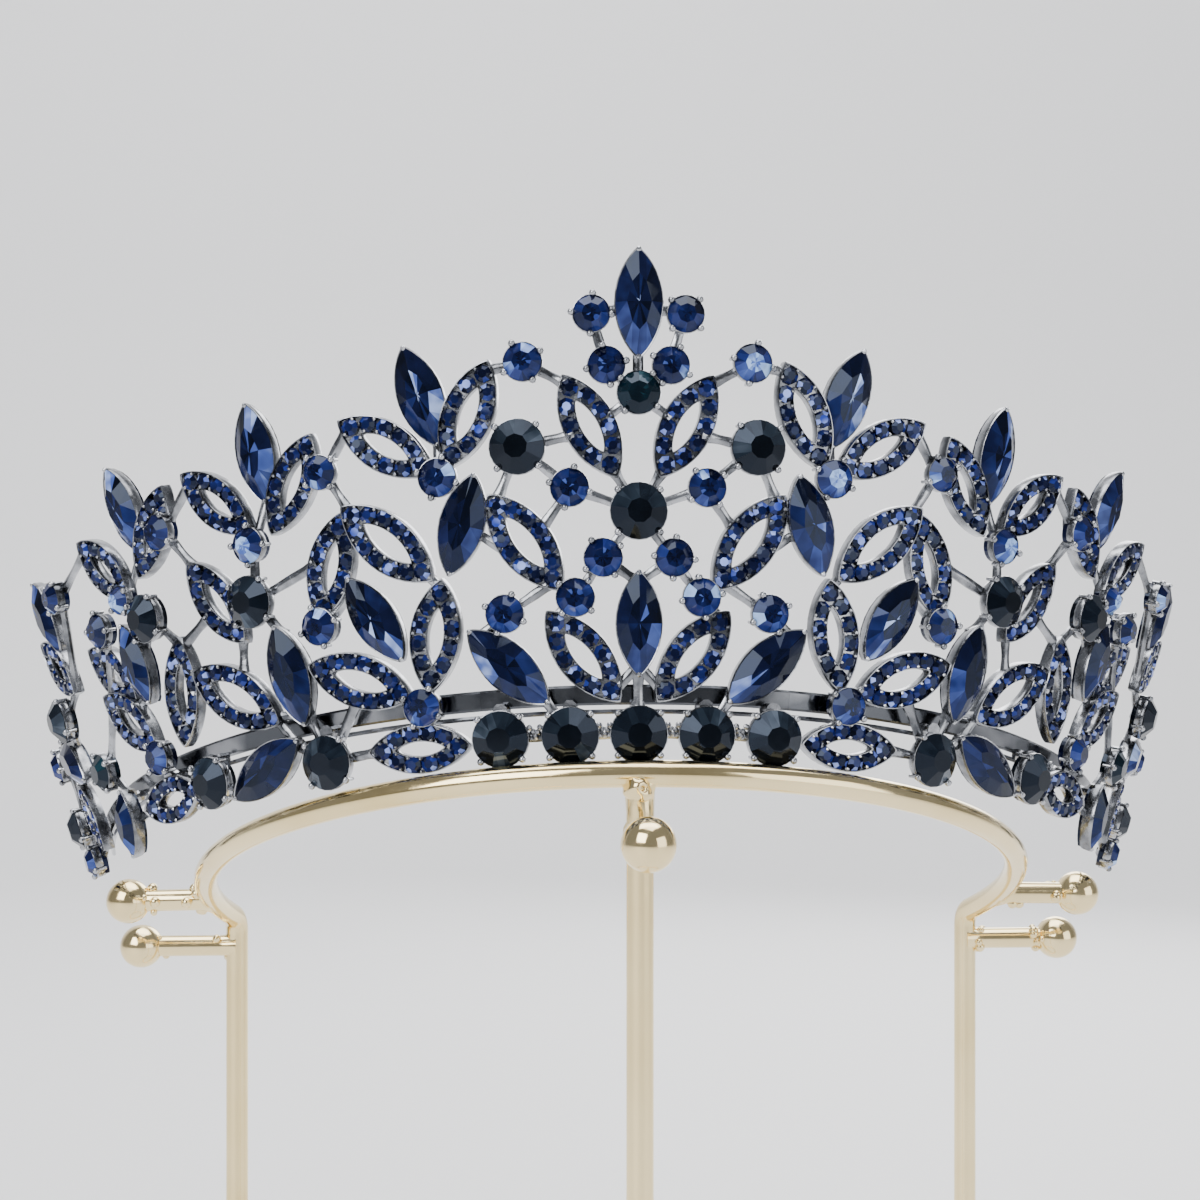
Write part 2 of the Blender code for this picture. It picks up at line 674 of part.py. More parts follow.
def facet_drop():
    """Distance from the bar's centre to its flat underside."""
    return BAR / 2 * math.cos(math.pi / BAR_SIDES)


def build_stand():
    rail, end_z = build_rail()
    centre, radius = base_circle()
    path = []
    for step in range(BASE_STEPS):
        turn = 2 * math.pi * step / BASE_STEPS
        path.append(Vector((radius * math.sin(turn), centre - radius * math.cos(turn),
                            facet_drop())))
    base = finish(sweep(path, BAR, BAR_SIDES, True, Vector((0.0, 0.0, 1.0))), "stand_base_ring")
    foot = 2 * facet_drop() + BUTT_GAP
    front = rail_point(0.0)
    tilt = math.cos(math.radians(LEAN_BACK_DEG))
    top = front.z - BAR / 2 / tilt - BAR / 2 * math.tan(math.radians(LEAN_BACK_DEG)) - BUTT_GAP
    peg_z = front.z - FRONT_PEG_DROP
    peg_end = Vector((0.0, front.y - FRONT_PEG, peg_z))
    items = [bar("leg", Vector((0.0, front.y, foot)), Vector((0.0, front.y, top)), BAR)]
    items.append(bar("peg", Vector((0.0, front.y, peg_z)), peg_end, PEG_BAR))
    items.append(ball("ball", peg_end))
    stand = [rail, base, fuse("stand_front_leg", items)]
    for hand, name in ((-1, "stand_rear_leg_l"), (1, "stand_rear_leg_r")):
        spot = rear_leg_xy(hand)
        peg_z = rail_end(hand)[0].z - LOW_PEG_DROP - BAR
        leg_top = end_z - BUTT_GAP
        away = Vector((spot.x + hand * LOW_PEG, spot.y, peg_z))
        items = [bar("leg", Vector((spot.x, spot.y, foot)), Vector((spot.x, spot.y, leg_top)), BAR)]
        items.append(bar("peg", Vector((spot.x, spot.y, peg_z)), away, PEG_BAR))
        items.append(ball("ball", away))
        stand.append(fuse(name, items))
    for item in stand:
        paint(item, "gold", GOLD_COLOUR, 1.0, 0.2)
        smooth(item)
    return stand


def build_crown():
    half_gap = math.degrees(WING_GAP / 2 / BASE_RADIUS)
    edge = WING_START_DEG - half_gap
    frame, stones = pieces(CENTRE, CENTRE_STEMS, (), 0, None, CENTRE_POSTS)
    bodies = [fuse("frame_centre", [band("band", -edge, edge)] + frame)]
    for hand, name in ((-1, "frame_wing_l"), (1, "frame_wing_r")):
        start = WING_START_DEG + half_gap
        frame, wing_stones = pieces(WING, WING_STEMS, WING_TIES, hand, OWN_WING, WING_POSTS)
        strip = band("band", hand * start, hand * BAND_END_DEG)
        bodies.append(fuse(name, [strip] + frame))
        stones.extend(wing_stones)
    for item in bodies:
        paint(item, "gunmetal", METAL_COLOUR, 1.0, 0.3)
    return bodies, stones


def centre_on_origin():
    """Move the whole part so that its box's middle lies over the origin in depth."""
    low, high = math.inf, -math.inf
    items = [item for item in bpy.context.scene.objects if item.type == "MESH"]
    for item in items:
        for vertex in item.data.vertices:
            low = min(low, vertex.co.y)
            high = max(high, vertex.co.y)
    shift = Matrix.Translation((0.0, -(low + high) / 2, 0.0))
    for item in items:
        item.data.transform(shift)


def main():
    for item in list(bpy.data.objects):
        bpy.data.objects.remove(item)
    build_stand()
    build_crown()
    centre_on_origin()


main()
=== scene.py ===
"""Looks of a crystal tiara on its wire display stand, built round the packed frame."""
import math
from collections import namedtuple

import bmesh
import bpy
import numpy as np
from bpy.props import FloatProperty, FloatVectorProperty, IntProperty, PointerProperty
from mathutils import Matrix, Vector


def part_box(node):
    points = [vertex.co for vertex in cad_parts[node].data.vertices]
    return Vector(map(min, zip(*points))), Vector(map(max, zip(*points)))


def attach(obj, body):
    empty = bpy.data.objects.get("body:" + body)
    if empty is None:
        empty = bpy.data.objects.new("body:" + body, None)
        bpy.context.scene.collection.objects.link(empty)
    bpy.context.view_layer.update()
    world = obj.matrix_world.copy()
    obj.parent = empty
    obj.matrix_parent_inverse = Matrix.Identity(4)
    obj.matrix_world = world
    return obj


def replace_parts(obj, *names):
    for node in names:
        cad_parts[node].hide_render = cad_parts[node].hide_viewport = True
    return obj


bl_info = {
    "name": "Crystal Tiara",
    "version": (1, 0, 0),
    "blender": (4, 5, 0),
    "location": "View3D > Sidebar > Tiara",
    "description": "Dresses a crystal tiara and its wire display stand",
    "category": "Object",
}

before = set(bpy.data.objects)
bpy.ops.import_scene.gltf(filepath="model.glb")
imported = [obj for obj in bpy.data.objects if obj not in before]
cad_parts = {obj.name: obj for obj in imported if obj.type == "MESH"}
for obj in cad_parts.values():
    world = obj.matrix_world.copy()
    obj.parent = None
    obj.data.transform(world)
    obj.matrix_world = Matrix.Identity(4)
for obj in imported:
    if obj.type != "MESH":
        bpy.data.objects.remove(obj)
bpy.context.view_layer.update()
MM = 0.001

Piece = namedtuple("Piece", "name kind turn rise lean size back", defaults=(0.0,))


def pieces(*rows):
    return tuple(Piece(*row) for row in rows)


# Centre of the crown: name, kind, turn in degrees, rise as a share of the crown's rise, lean in
# degrees, size as a share of its kind. A turn other than 0 makes a pair.
CENTRE = pieces(
    ("top_navette", "navette", 0, 0.874, 0, 1.02),
    ("teal_round", "teal", 0, 0.692, 0, 1),
    ("mid_black", "black", 0, 0.452, 0, 1),
    ("mid_navette", "navette", 0, 0.224, 0, 0.97),
    ("base_black", "black", 0, 0, 0, 1),
    ("crest_round", "blue", 3.45, 0.853, 0, 0.96),
    ("neck_round", "blue", 2.42, 0.748, 0, 0.96),
    ("arch_round", "blue", 8.65, 0.761, 0, 1),
    ("high_leaf", "leaf", 3.76, 0.626, 26.8, 0.98),
    ("high_black", "black", 9.44, 0.59, 0, 0.98),
    ("inner_round", "blue", 5.46, 0.502, 0, 0.98),
    ("mid_leaf", "leaf", 9.32, 0.396, 34.2, 1.02),
    ("side_navette", "navette", 14.3, 0.441, -19.4, 0.97),
    ("pair_round", "blue", 2.92, 0.358, 0, 0.98),
    ("foot_round", "blue", 5.3, 0.279, 0, 0.98),
    ("outer_round", "blue", 11.3, 0.253, 0, 0.98),
    ("low_leaf", "leaf", 4.79, 0.159, 37.6, 0.98),
    ("low_navette", "navette", 11.31, 0.145, 44.2, 1),
    ("row_black", "black", 6.17, 0, 0, 1),
    ("end_black", "black", 12.5, 0, 0, 1))

# Wing of the crown: the same columns, then how far a piece lies behind the others
WING = pieces(
    ("sprig_1_navette", "navette", 17, 0.715, 13.8, 1, 1),
    ("sprig_1_inner", "leaf", 13.2, 0.665, -26.2, 0.98),
    ("sprig_1_outer", "leaf", 20.1, 0.621, 54.7, 0.97),
    ("sprig_1_round", "blue", 15.95, 0.542, 0, 1),
    ("link_1_round", "blue", 25.75, 0.591, 0, 0.92),
    ("fan_leaf", "leaf", 20.97, 0.423, 45.3, 1.05),
    ("fan_back_leaf", "leaf", 26.6, 0.395, -22.6, 0.96, 0.35),
    ("fan_round", "blue", 28.1, 0.276, 0, 0.98),
    ("fan_navette", "navette", 22.85, 0.271, 27.7, 0.95, 0.2),
    ("fan_black", "black", 34.7, 0.36, 0, 0.96),
    ("fan_side_leaf", "leaf", 39.05, 0.382, 29.2, 0.97, 0.3),
    ("base_up_leaf", "leaf", 17.65, 0.221, -13, 0.98),
    ("base_out_leaf", "leaf", 25.25, 0.15, 66.3, 1.02),
    ("base_round", "blue", 19.45, 0.079, 0, 0.98),
    ("base_flat_leaf", "leaf", 20.3, -0.005, 88, 0.93),
    ("base_side_black", "black", 29.7, -0.005, 0, 0.98),
    ("steep_navette", "navette", 32.1, 0.189, 7.7, 1, 0.2),
    ("wide_leaf", "leaf", 38.8, 0.173, 53.8, 1.1),
    ("upright_leaf", "leaf", 45.9, 0.221, -16, 1, 0.2),
    ("base_navette", "navette", 36.6, 0.006, 114.6, 1),
    ("base_far_black", "black", 44.25, 0.01, 0, 0.98),
    ("wing_black", "black", 47.75, 0.403, 0, 0.92),
    ("wing_navette", "navette", 51.15, 0.32, 8.3, 0.88, 0.3),
    ("link_2_round", "blue", 43.2, 0.568, 0, 0.98),
    ("sprig_2_navette", "navette", 32.1, 0.668, 1, 0.98, 1),
    ("sprig_2_inner", "leaf", 28.7, 0.58, -35.3, 0.96),
    ("sprig_2_outer", "leaf", 36.4, 0.586, 43.1, 0.94),
    ("sprig_2_round", "blue", 33.6, 0.477, 0, 0.96),
    ("sprig_3_navette", "navette", 48.4, 0.66, 11.9, 0.96, 1),
    ("sprig_3_inner", "leaf", 44.9, 0.579, -41.2, 0.94, 0.3),
    ("sprig_3_outer", "leaf", 52.3, 0.552, 40.2, 0.94),
    ("sprig_3_round", "blue", 50.4, 0.465, 0, 0.8),
    ("link_3_round", "blue", 55.2, 0.429, 0, 0.98),
    ("link_4_round", "blue", 62.2, 0.569, 0, 0.94),
    ("sprig_4_navette", "navette", 67.25, 0.56, 13.7, 0.94, 0.6),
    ("sprig_4_leaf", "leaf", 67.6, 0.435, 40, 0.94),
    ("tail_leaf", "leaf", 54.8, 0.208, 45.5, 0.98),
    ("tail_side_leaf", "leaf", 56.3, 0.33, 44, 0.94, 0.3),
    ("tail_round", "blue", 51.15, 0.103, 0, 0.98),
    ("tail_flat_leaf", "leaf", 51.4, 0.006, 90, 0.94),
    ("tail_navette", "navette", 60.4, 0, -10, 0.7),
    ("tail_teal", "teal", 63, 0.14, 0, 0.98),
    ("tail_black", "black", 70.9, 0.327, 0, 0.92),
    ("tail_high_navette", "navette", 73.6, 0.235, 50, 0.94, 0.4),
    ("tail_end_leaf", "leaf", 74.6, 0.098, 25, 0.9, 0.2),
    ("end_round", "blue", 77.6, 0.005, 0, 0.98),
    ("end_low_black", "black", 81.4, 0.117, 0, 0.88),
    ("end_high_round", "blue", 81, 0.284, 0, 0.96))

ROWS = {row.name: row for row in CENTRE + WING}

# Cast stems between two pieces; an end that is not a piece's middle stands after a dot
CENTRE_STEMS = (
    ("top_navette", "teal_round"), ("crest_round", "neck_round"), ("crest_round", "top_navette"),
    ("neck_round", "teal_round"), ("teal_round", "high_leaf.left"),
    ("arch_round", "high_leaf.tip"), ("high_black", "mid_leaf.tip"),
    ("high_leaf.foot", "mid_black"), ("high_leaf.right", "high_black"),
    ("high_black", "inner_round"), ("inner_round", "mid_black"), ("inner_round", "mid_leaf.left"),
    ("mid_black", "pair_round"), ("pair_round", "foot_round"), ("pair_round", "mid_navette.tip"),
    ("mid_leaf.right", "side_navette"), ("foot_round", "low_leaf.tip"),
    ("low_leaf.foot", "mid_navette.foot"), ("mid_navette.foot", "base_black"),
    ("outer_round", "mid_leaf.foot"), ("outer_round", "low_navette.tip"),
    ("low_navette.foot", "row_black"), ("base_black", "row_black"), ("row_black", "end_black"),
)

WING_STEMS = (
    ("sprig_1_inner.tip", "arch_round"), ("sprig_1_outer.tip", "link_1_round"),
    ("link_1_round", "fan_leaf.tip"), ("fan_leaf.tip", "fan_back_leaf.tip"),
    ("fan_leaf.foot", "base_up_leaf.tip"), ("fan_round", "fan_navette.tip"),
    ("fan_black", "fan_back_leaf.right"), ("fan_black", "sprig_2_round"),
    ("fan_black", "steep_navette.tip"), ("fan_side_leaf.tip", "link_2_round"),
    ("fan_side_leaf.foot", "wide_leaf.left"), ("base_flat_leaf.tip", "base_side_black"),
    ("base_out_leaf.right", "base_side_black"), ("base_side_black", "steep_navette.foot"),
    ("base_side_black", "base_navette.foot"), ("wide_leaf.foot", "steep_navette.foot"),
    ("wide_leaf.foot", "base_navette.foot"), ("wide_leaf.tip", "upright_leaf.left"),
    ("base_navette.tip", "base_far_black"), ("upright_leaf.tip", "wing_black"),
    ("upright_leaf.tip", "fan_side_leaf.right"), ("sprig_2_outer.tip", "link_2_round"),
    ("sprig_3_round", "wing_black"), ("sprig_1_navette.foot", "sprig_1_round"),
    ("sprig_1_inner.foot", "sprig_1_round"), ("sprig_2_navette.foot", "sprig_2_round"),
    ("sprig_3_navette.foot", "sprig_3_round"), ("link_2_round", "sprig_3_inner.tip"),
    ("sprig_3_outer.tip", "link_4_round"), ("link_4_round", "sprig_4_navette"),
    ("link_4_round", "sprig_4_leaf.foot"), ("sprig_4_leaf.foot", "tail_black"),
    ("wing_black", "wing_navette"), ("wing_navette.foot", "tail_leaf.left"),
    ("link_3_round", "tail_leaf.tip"), ("tail_flat_leaf.tip", "tail_navette"),
    ("tail_navette.tip", "tail_teal"), ("tail_leaf.tip", "tail_teal"),
    ("tail_teal", "tail_high_navette.foot"), ("tail_black", "tail_high_navette"),
    ("tail_high_navette.tip", "end_high_round"), ("tail_high_navette", "tail_end_leaf.tip"),
    ("tail_end_leaf.foot", "end_round"), ("end_round", "end_low_black"),
    ("end_low_black", "end_high_round"),
)

# Stones of the wings that are pieces of their own, and pieces that a post ties to the band
OWN_WING = ("sprig_1_round", "link_1_round", "fan_black", "base_side_black")
CENTRE_POSTS = ("base_black", "row_black", "end_black")
WING_POSTS = ("base_flat_leaf", "base_side_black", "base_far_black", "tail_flat_leaf",
              "tail_navette", "end_round")

# Neighbours in the base row that a knot of small beads joins
ROW_KNOTS = (("base_black", "row_black"), ("row_black", "end_black"))

# Leaf tray's section: share of the way from its outer edge to its hole, height in mm
TRAY_SECTION = (
    (0.03, -0.8), (0.0, -0.6), (0.0, 0.84), (0.02, 1.0), (0.07, 1.02), (0.1, 0.9), (0.11, 0.3),
    (0.91, 0.3), (0.92, 0.7), (0.94, 0.86), (0.97, 0.86), (1.0, 0.74), (1.0, -0.6), (0.97, -0.8),
)

# Cup under a round stone: distance out from the stone's edge and height, in mm
CUP_SECTION = (
    (-1.3, -0.5), (-0.75, -0.5), (-0.3, -0.1), (0.1, 0.7), (0.15, 1.5), (0.11, 1.66),
    (0.03, 1.68), (-0.02, 1.5), (-0.1, 0.6), (-1.3, 0.4),
)

# Rim round a navette, in the same terms, as a closed loop
RIM_SECTION = (
    (-0.7, -0.5), (-0.3, -0.5), (0.05, 0.3), (0.13, 1.2), (0.15, 1.72), (0.08, 1.86),
    (-0.02, 1.8), (-0.04, 1.2), (-0.3, 0.2), (-0.7, 0.2),
)

# Prong with its ball: radius and height in mm
PRONG_SECTION = (
    (0.26, 0.1), (0.26, 1.2), (0.33, 1.42), (0.5, 1.66), (0.52, 1.96), (0.36, 2.22), (0.1, 2.34),
)

# Small bead: radius and height as shares of the bead's radius
BEAD_SECTION = ((0.35, -0.94), (0.94, -0.35), (0.94, 0.35), (0.35, 0.94))

# Strip behind the base row: height and depth as shares of the strip's own
BAND_SECTION = ((0.12, 0.0), (0.88, 0.0), (1.0, 0.3), (1.0, 0.7), (0.88, 1.0), (0.12, 1.0),
                (0.0, 0.7), (0.0, 0.3))

# Knot between two base stones: across, up and height in mm, and size, of each bead
KNOT = ((-0.72, 1.3, 1.25, 1.0), (0.72, 1.3, 1.25, 1.0), (0.0, 0.1, 0.8, 1.3),
        (-0.3, 0.7, 0.7, 1.1), (0.35, 0.6, 0.75, 1.1))

# Share of a piece's length from its middle to a stem's end, share of the band's height that the
# base stones overlap, the second wire's distance below the band in its radii, and the turn
# between the band's rings in degrees
END_SHARE, BAND_OVERLAP, WIRE_DROP, BAND_STEP = 0.4, 0.1, 2.4, 2.0

# Leaf: share of the border's width kept at its points, and the lines of the small stones and
# the grains, as shares of the way from its edge to its hole
LEAF_ENDS, PAVE_LINE, GRAIN_LINES = 0.75, 0.51, (0.17, 0.85)

# How far a navette's rim grows at its points, and the beads there: radius as a share of a
# grain's width, distance in from the point and height in mm
RIM_ENDS, END_BEAD, END_BEAD_IN, END_BEAD_HEIGHT = 3.6, 0.7, 0.1, 1.8

# Cast bars: size in the middle, and a wave's height, turn along the bar and start by its run
BAR_WAIST, BAR_WAVE, BAR_WAVE_RUN, BAR_WAVE_START = 0.94, 0.07, 11.0, 2000.0

# Growth at the ends of stems and posts, and how far a post passes its place, in mm
STEM_SWELL, POST_SWELL, POST_REACH = 0.75, 0.3, 0.3

# Angles in degrees past which edges stay sharp on the castings and on the stand
CAST_SHARP, BAR_SHARP = 38, 50

# Tones of the plating's faces, the prongs' and beads' brighter tones being painted highlights,
# and how strongly a tone brightens it
PLAIN_TONE, BAND_TONE, PRONG_HIGHLIGHT_TONE, BEAD_HIGHLIGHT_TONE, TONE_PULL = 0.5, 0.2, 0.7, 1.0, 1.6

# Cut stones: girdle points to a main facet, foot's share of the girdle's width, and how far out
# the corners and the middles of the star lie, as shares of the table's
GIRDLE_STEPS, FOOT_SHARE, ROUND_STAR, NAVETTE_STAR = 3, 0.96, (0.42, 0.62), (0.1, 0.3)

# Height of the foot of a stone that is set in the casting, in mm
SET_STONE_FOOT = -0.4

# Painted light in a stone: how bright its crown is, how much brighter the upper facets are, as
# light from above would make them, how bright the table is and what a painted flash adds to it
Glow = namedtuple("Glow", "crown up table flash", defaults=(0.0,))
GLOWS = {"blue": Glow(1.28, -0.12, 0.75), "teal": Glow(0.7, 0.25, 0.5),
         "black": Glow(0.85, 0.36, 0.1)}

# Pointed stones' painted light: span of the brightness of crown and table, and what the upper
# facets add
NAVETTE_GLOW_SPAN, NAVETTE_UP = (0.6, 1.05), -0.22

# Painted light of the blue rounds fades with their rise; some get a painted flash, which spills
# over to the crown
BLUE_FADE, FLASH, FLASH_CHANCE, FLASH_SPILL = 0.5, 0.75, 0.16, 0.3

# Painted light in the facets, as tones of the main facets: middle, scatter, least, share of
# painted glints and their tone; then the span for the small facets beside them, the walls' tone,
# and the span of the painted glints
CROWN_TONE, CROWN_SCATTER, CROWN_LEAST, CROWN_BRIGHT, CROWN_MOST = 0.33, 0.2, 0.03, 0.09, 0.9
BESIDE, WALL_TONE, BRIGHT_TONES = (0.7, 1.2), 0.1, (0.82, 1.0)

# Painted light: least and most tone and share of painted glints, for the table's outer and inner
# facets, and a small stone's sides and table
TABLE_TONES = ((0.04, 0.42, 0.06), (0.0, 0.26, 0.04))
PAVE_SIDE_TONES, PAVE_TABLE_TONES = (0.0, 0.66, 0.13), (0.12, 0.46, 0.07)

# Small stones: foot's and table's shares of the radius, and the most that one is tipped
PAVE_FOOT, PAVE_TABLE, PAVE_TIP = 0.9, 0.5, 0.09

# Platings: scale of the patches, bump's depth, and the least and most roughness
PLATINGS = {"cast": (240.0, 0.1, 0.14, 0.3), "drawn": (90.0, 0.03, 0.1, 0.2)}

# Scales of a plating's marks and grain, as multiples of its patches'
PLATING_MARKS, PLATING_GRAIN = 6.0, 3.6

# Gilding: scales of the patches, the rubbed marks and the grain, and least and most roughness
GILT_PATCH, GILT_MARKS, GILT_GRAIN, GILT_ROUGH = 45.0, 700.0, 320.0, (0.07, 0.18)

# Cut glass: scales of its clouds and its polish, the clouds' strength as a tone, least and most
# roughness, refraction and the level of what it mirrors
GLASS_CLOUD, GLASS_POLISH, GLASS_DRIFT, GLASS_ROUGH = 420.0, 900.0, 0.08, (0.02, 0.06)
GLASS_IOR, GLASS_MIRROR = 1.52, 0.3

# Stone colours with painted light: the colours that a facet takes from dark to bright, as stops
# of its tone, the brightest being painted glints
STONE_STOPS = {
    "blue": ((0.0, (0.0006, 0.001, 0.008)), (0.3, (0.005, 0.008, 0.05)),
             (0.55, (0.018, 0.03, 0.16)), (0.8, (0.07, 0.12, 0.4)), (1.0, (0.36, 0.56, 0.95))),
    "navette": ((0.0, (0.0005, 0.001, 0.005)), (0.3, (0.003, 0.005, 0.026)),
                (0.55, (0.013, 0.021, 0.1)), (0.8, (0.06, 0.1, 0.34)), (1.0, (0.46, 0.6, 0.95))),
    "black": ((0.0, (0.0004, 0.0008, 0.0016)), (0.4, (0.003, 0.005, 0.009)),
              (0.7, (0.014, 0.021, 0.031)), (1.0, (0.075, 0.095, 0.125))),
    "teal": ((0.0, (0.0008, 0.003, 0.005)), (0.35, (0.002, 0.01, 0.016)),
             (0.65, (0.01, 0.036, 0.05)), (1.0, (0.14, 0.3, 0.36))),
    "pave": ((0.0, (0.0006, 0.001, 0.006)), (0.35, (0.004, 0.006, 0.032)),
             (0.6, (0.011, 0.018, 0.12)), (0.8, (0.03, 0.055, 0.34)), (1.0, (0.34, 0.45, 0.95))),
}

# Stand: angle left out at a ball's poles, and the length and height of a peg's flare in collars
BALL_POLE, COLLAR_LONG, COLLAR_WIDE = 0.04, 1.6, 0.8

# Sides of bars, pegs, cups, small beads and prongs, and grains in a leaf; steps along a leaf's
# line, the rail, the base ring and a straight bar; and a solder fillet's rings
BAR_SIDES, PEG_SIDES, CUP_SIDES, BEAD_SIDES, GRAIN_SIDES = 24, 20, 24, 8, 6
LINE_STEPS, RAIL_STEPS, RING_STEPS, STRAIGHT_STEPS, SOLDER_RINGS = 721, 121, 144, 12, 13

# Grains of solder: how many, their ring at a ball in pegs, and for the pegs on the rail and on
# the legs what soldered_peg asks for
GRAIN_COUNT, BALL_GIRTH = 7, 0.52
RAIL_GRAINS, LEG_GRAINS = (0.8, 0.56, 0.2, 0.19), (0.7, 0.54, 0.19, 0.18)

# Legs: lower end's height and upper end's depth in bars, and the solder's flare, its widths at
# foot and top as shares of the leg's, and its pinch at the top
LEG_FOOT, LEG_TOP = 0.9, 0.03
SOLDER_FLARE, FOOT_SWELL, TOP_SWELL, TOP_PINCH = 0.3, 1.03, 1.02, 0.16

# Lump of solder under the rail: place and radius in bars, and its pit's direction, width, depth
LUMP_AT, LUMP_RADIUS = (-0.1, -0.14, -0.52), 0.56
PIT_AIM, PIT_WIDTH, PIT_DEPTH = (0.35, -0.93, 0.1), 0.012, 0.6

# Stage, in metres: floor's front, where it starts to bend, bend's radius, half its width and the
# backdrop's top; then the floor's specks and roughness, the world's light and the camera
FLOOR_FRONT, FLOOR_BACK, FLOOR_BEND, FLOOR_SIDE, BACKDROP_TOP = -7.0, 1.1, 0.5, 6.0, 2.6
FLOOR_SPECK, FLOOR_ROUGH = 60.0, (0.55, 0.62)
WORLD_COLOUR, WORLD_STRENGTH = (0.86, 0.89, 0.95, 1.0), 0.32
CAMERA_AT, CAMERA_TURN, CAMERA_LENS = (-0.0213, -0.3349, 0.1916), -0.0585, 61.35

# Lamps: name, place, point that it faces, width and watts
AIM = (0.0, -0.03, 0.19)
LAMPS = (
    ("key", (-1.32, -1.76, 1.53), AIM, 1.7, 63.0),
    ("fill", (1.8, -1.4, 0.57), AIM, 1.7, 23.0),
    ("top", (0.12, 0.16, 2.13), AIM, 1.9, 46.0),
    ("rim", (0.3, 0.8, 0.5), AIM, 0.5, 4.0),
    ("backdrop_light", (0.0, 0.3, 1.5), (0.0, 1.3, 0.3), 1.2, 9.0),
)


def length_prop(name, description, millimetres):
    return FloatProperty(
        name=name, description=description, default=millimetres * MM, unit="LENGTH")


def angle_prop(name, description, degrees):
    return FloatProperty(
        name=name, description=description, default=math.radians(degrees), subtype="ANGLE")


def share_prop(name, description, share):
    return FloatProperty(name=name, description=description, default=share, subtype="FACTOR")


def colour_prop(name, description, colour):
    return FloatVectorProperty(
        name=name, description=description, default=colour, subtype="COLOR", size=3)


class CrownSizes(bpy.types.PropertyGroup):
    """Where the crown's pieces lie."""
    base_radius: length_prop("Base radius", "Radius of the row of base stones", 84.5)
    rise: length_prop("Rise", "Height of the front, measured up the crown's axis", 62)
    flare: angle_prop("Flare", "How far the wall opens outwards towards the top", 21)
    lean_back: angle_prop("Lean back", "How far the front is raised on the stand", 21.6)
    back_set: length_prop(
        "Back set", "Depth at which the tall navettes stand behind the leaves", 2.3)
    band_tall: length_prop("Band height", "Height of the strip behind the base row", 2.6)
    band_thick: length_prop("Band thickness", "Thickness of the strip behind the base row", 0.9)
    band_set: length_prop("Band depth", "Depth of the strip behind the stones", 2.2)
    band_end: angle_prop("Band end", "Turn at which the strip ends", 84)
    wing_start: angle_prop("Wing start", "Turn at which the centre's strip meets the wing's", 14.6)
    wing_gap: length_prop("Wing gap", "Gap between the centre's strip and the wing's", 0.02)
    stem_wide: length_prop("Stem width", "Width of the cast stems", 1.55)
    stem_thick: length_prop("Stem thickness", "Thickness of the cast stems", 1.15)
    post_wide: length_prop("Post width", "Width of the posts between the band and the stones", 1.7)
    second_wire: length_prop("Second wire", "Thickness of the wire just below the band", 0.7)


class StoneSizes(bpy.types.PropertyGroup):
    """Sizes of the cut stones."""
    blue: length_prop("Blue round", "Width of the blue rounds", 5.2)
    black: length_prop("Black round", "Width of the black rounds", 7.6)
    teal: length_prop("Teal round", "Width of the teal rounds", 5.8)
    navette_long: length_prop("Navette length", "Length of the pointed stones", 14.4)
    navette_wide: length_prop("Navette width", "Width of the pointed stones", 6.3)
    blue_tall: length_prop("Blue height", "Height of the small rounds above their seat", 1.7)
    black_tall: length_prop("Black height", "Height of the black rounds above their seat", 2.2)
    navette_tall: length_prop(
        "Navette height", "Height of the pointed stones above their seat", 1.9)
    seat: length_prop(
        "Seat height", "Height of the stones' lower edge over the leaves' middle", 1.1)
    girdle_share: share_prop(
        "Girdle", "Height of the widest line, as a share of the stone's height", 0.35)
    table_share: share_prop(
        "Table", "Width of the flat top, as a share of the stone's width", 0.52)
    black_table: share_prop(
        "Black table", "Width of a black stone's flat top, as such a share", 0.44)
    sides: IntProperty(
        name="Facets", description="Main facets round a stone's top", default=8)
    black_sides: IntProperty(
        name="Black facets", description="Main facets round a black stone's top", default=9)
    pave: length_prop("Pave stone", "Width of the small stones in the leaves", 2.46)
    pave_pitch: length_prop("Pave spacing", "Distance between small stones along a leaf", 2.5)
    pave_low: length_prop("Pave foot", "Height of the small stones' lower edge", 0.28)
    pave_girdle: length_prop("Pave girdle", "Height of the small stones' widest line", 0.72)
    pave_top: length_prop("Pave top", "Height of the small stones' flat top", 1.2)


class LeafSizes(bpy.types.PropertyGroup):
    """Sizes of the leaf trays and their beads."""
    long: length_prop("Leaf length", "Length of a leaf", 16.2)
    wide: length_prop("Leaf width", "Width of a leaf", 7.4)
    border: length_prop("Leaf border", "Width of the tray between the edge and the hole", 2.46)
    fullness: FloatProperty(
        name="Fullness", description="Power that shapes the pointed outline", default=0.82)
    bead: length_prop("Grain bead", "Width of the grains that hold the small stones", 0.56)
    bead_height: length_prop("Grain height", "Height of those grains", 0.86)
    prong_out: length_prop("Prong distance", "Distance of the prongs from a stone's edge", 0.24)
    knot_bead: length_prop("Knot bead", "Width of the beads between the base stones", 0.9)


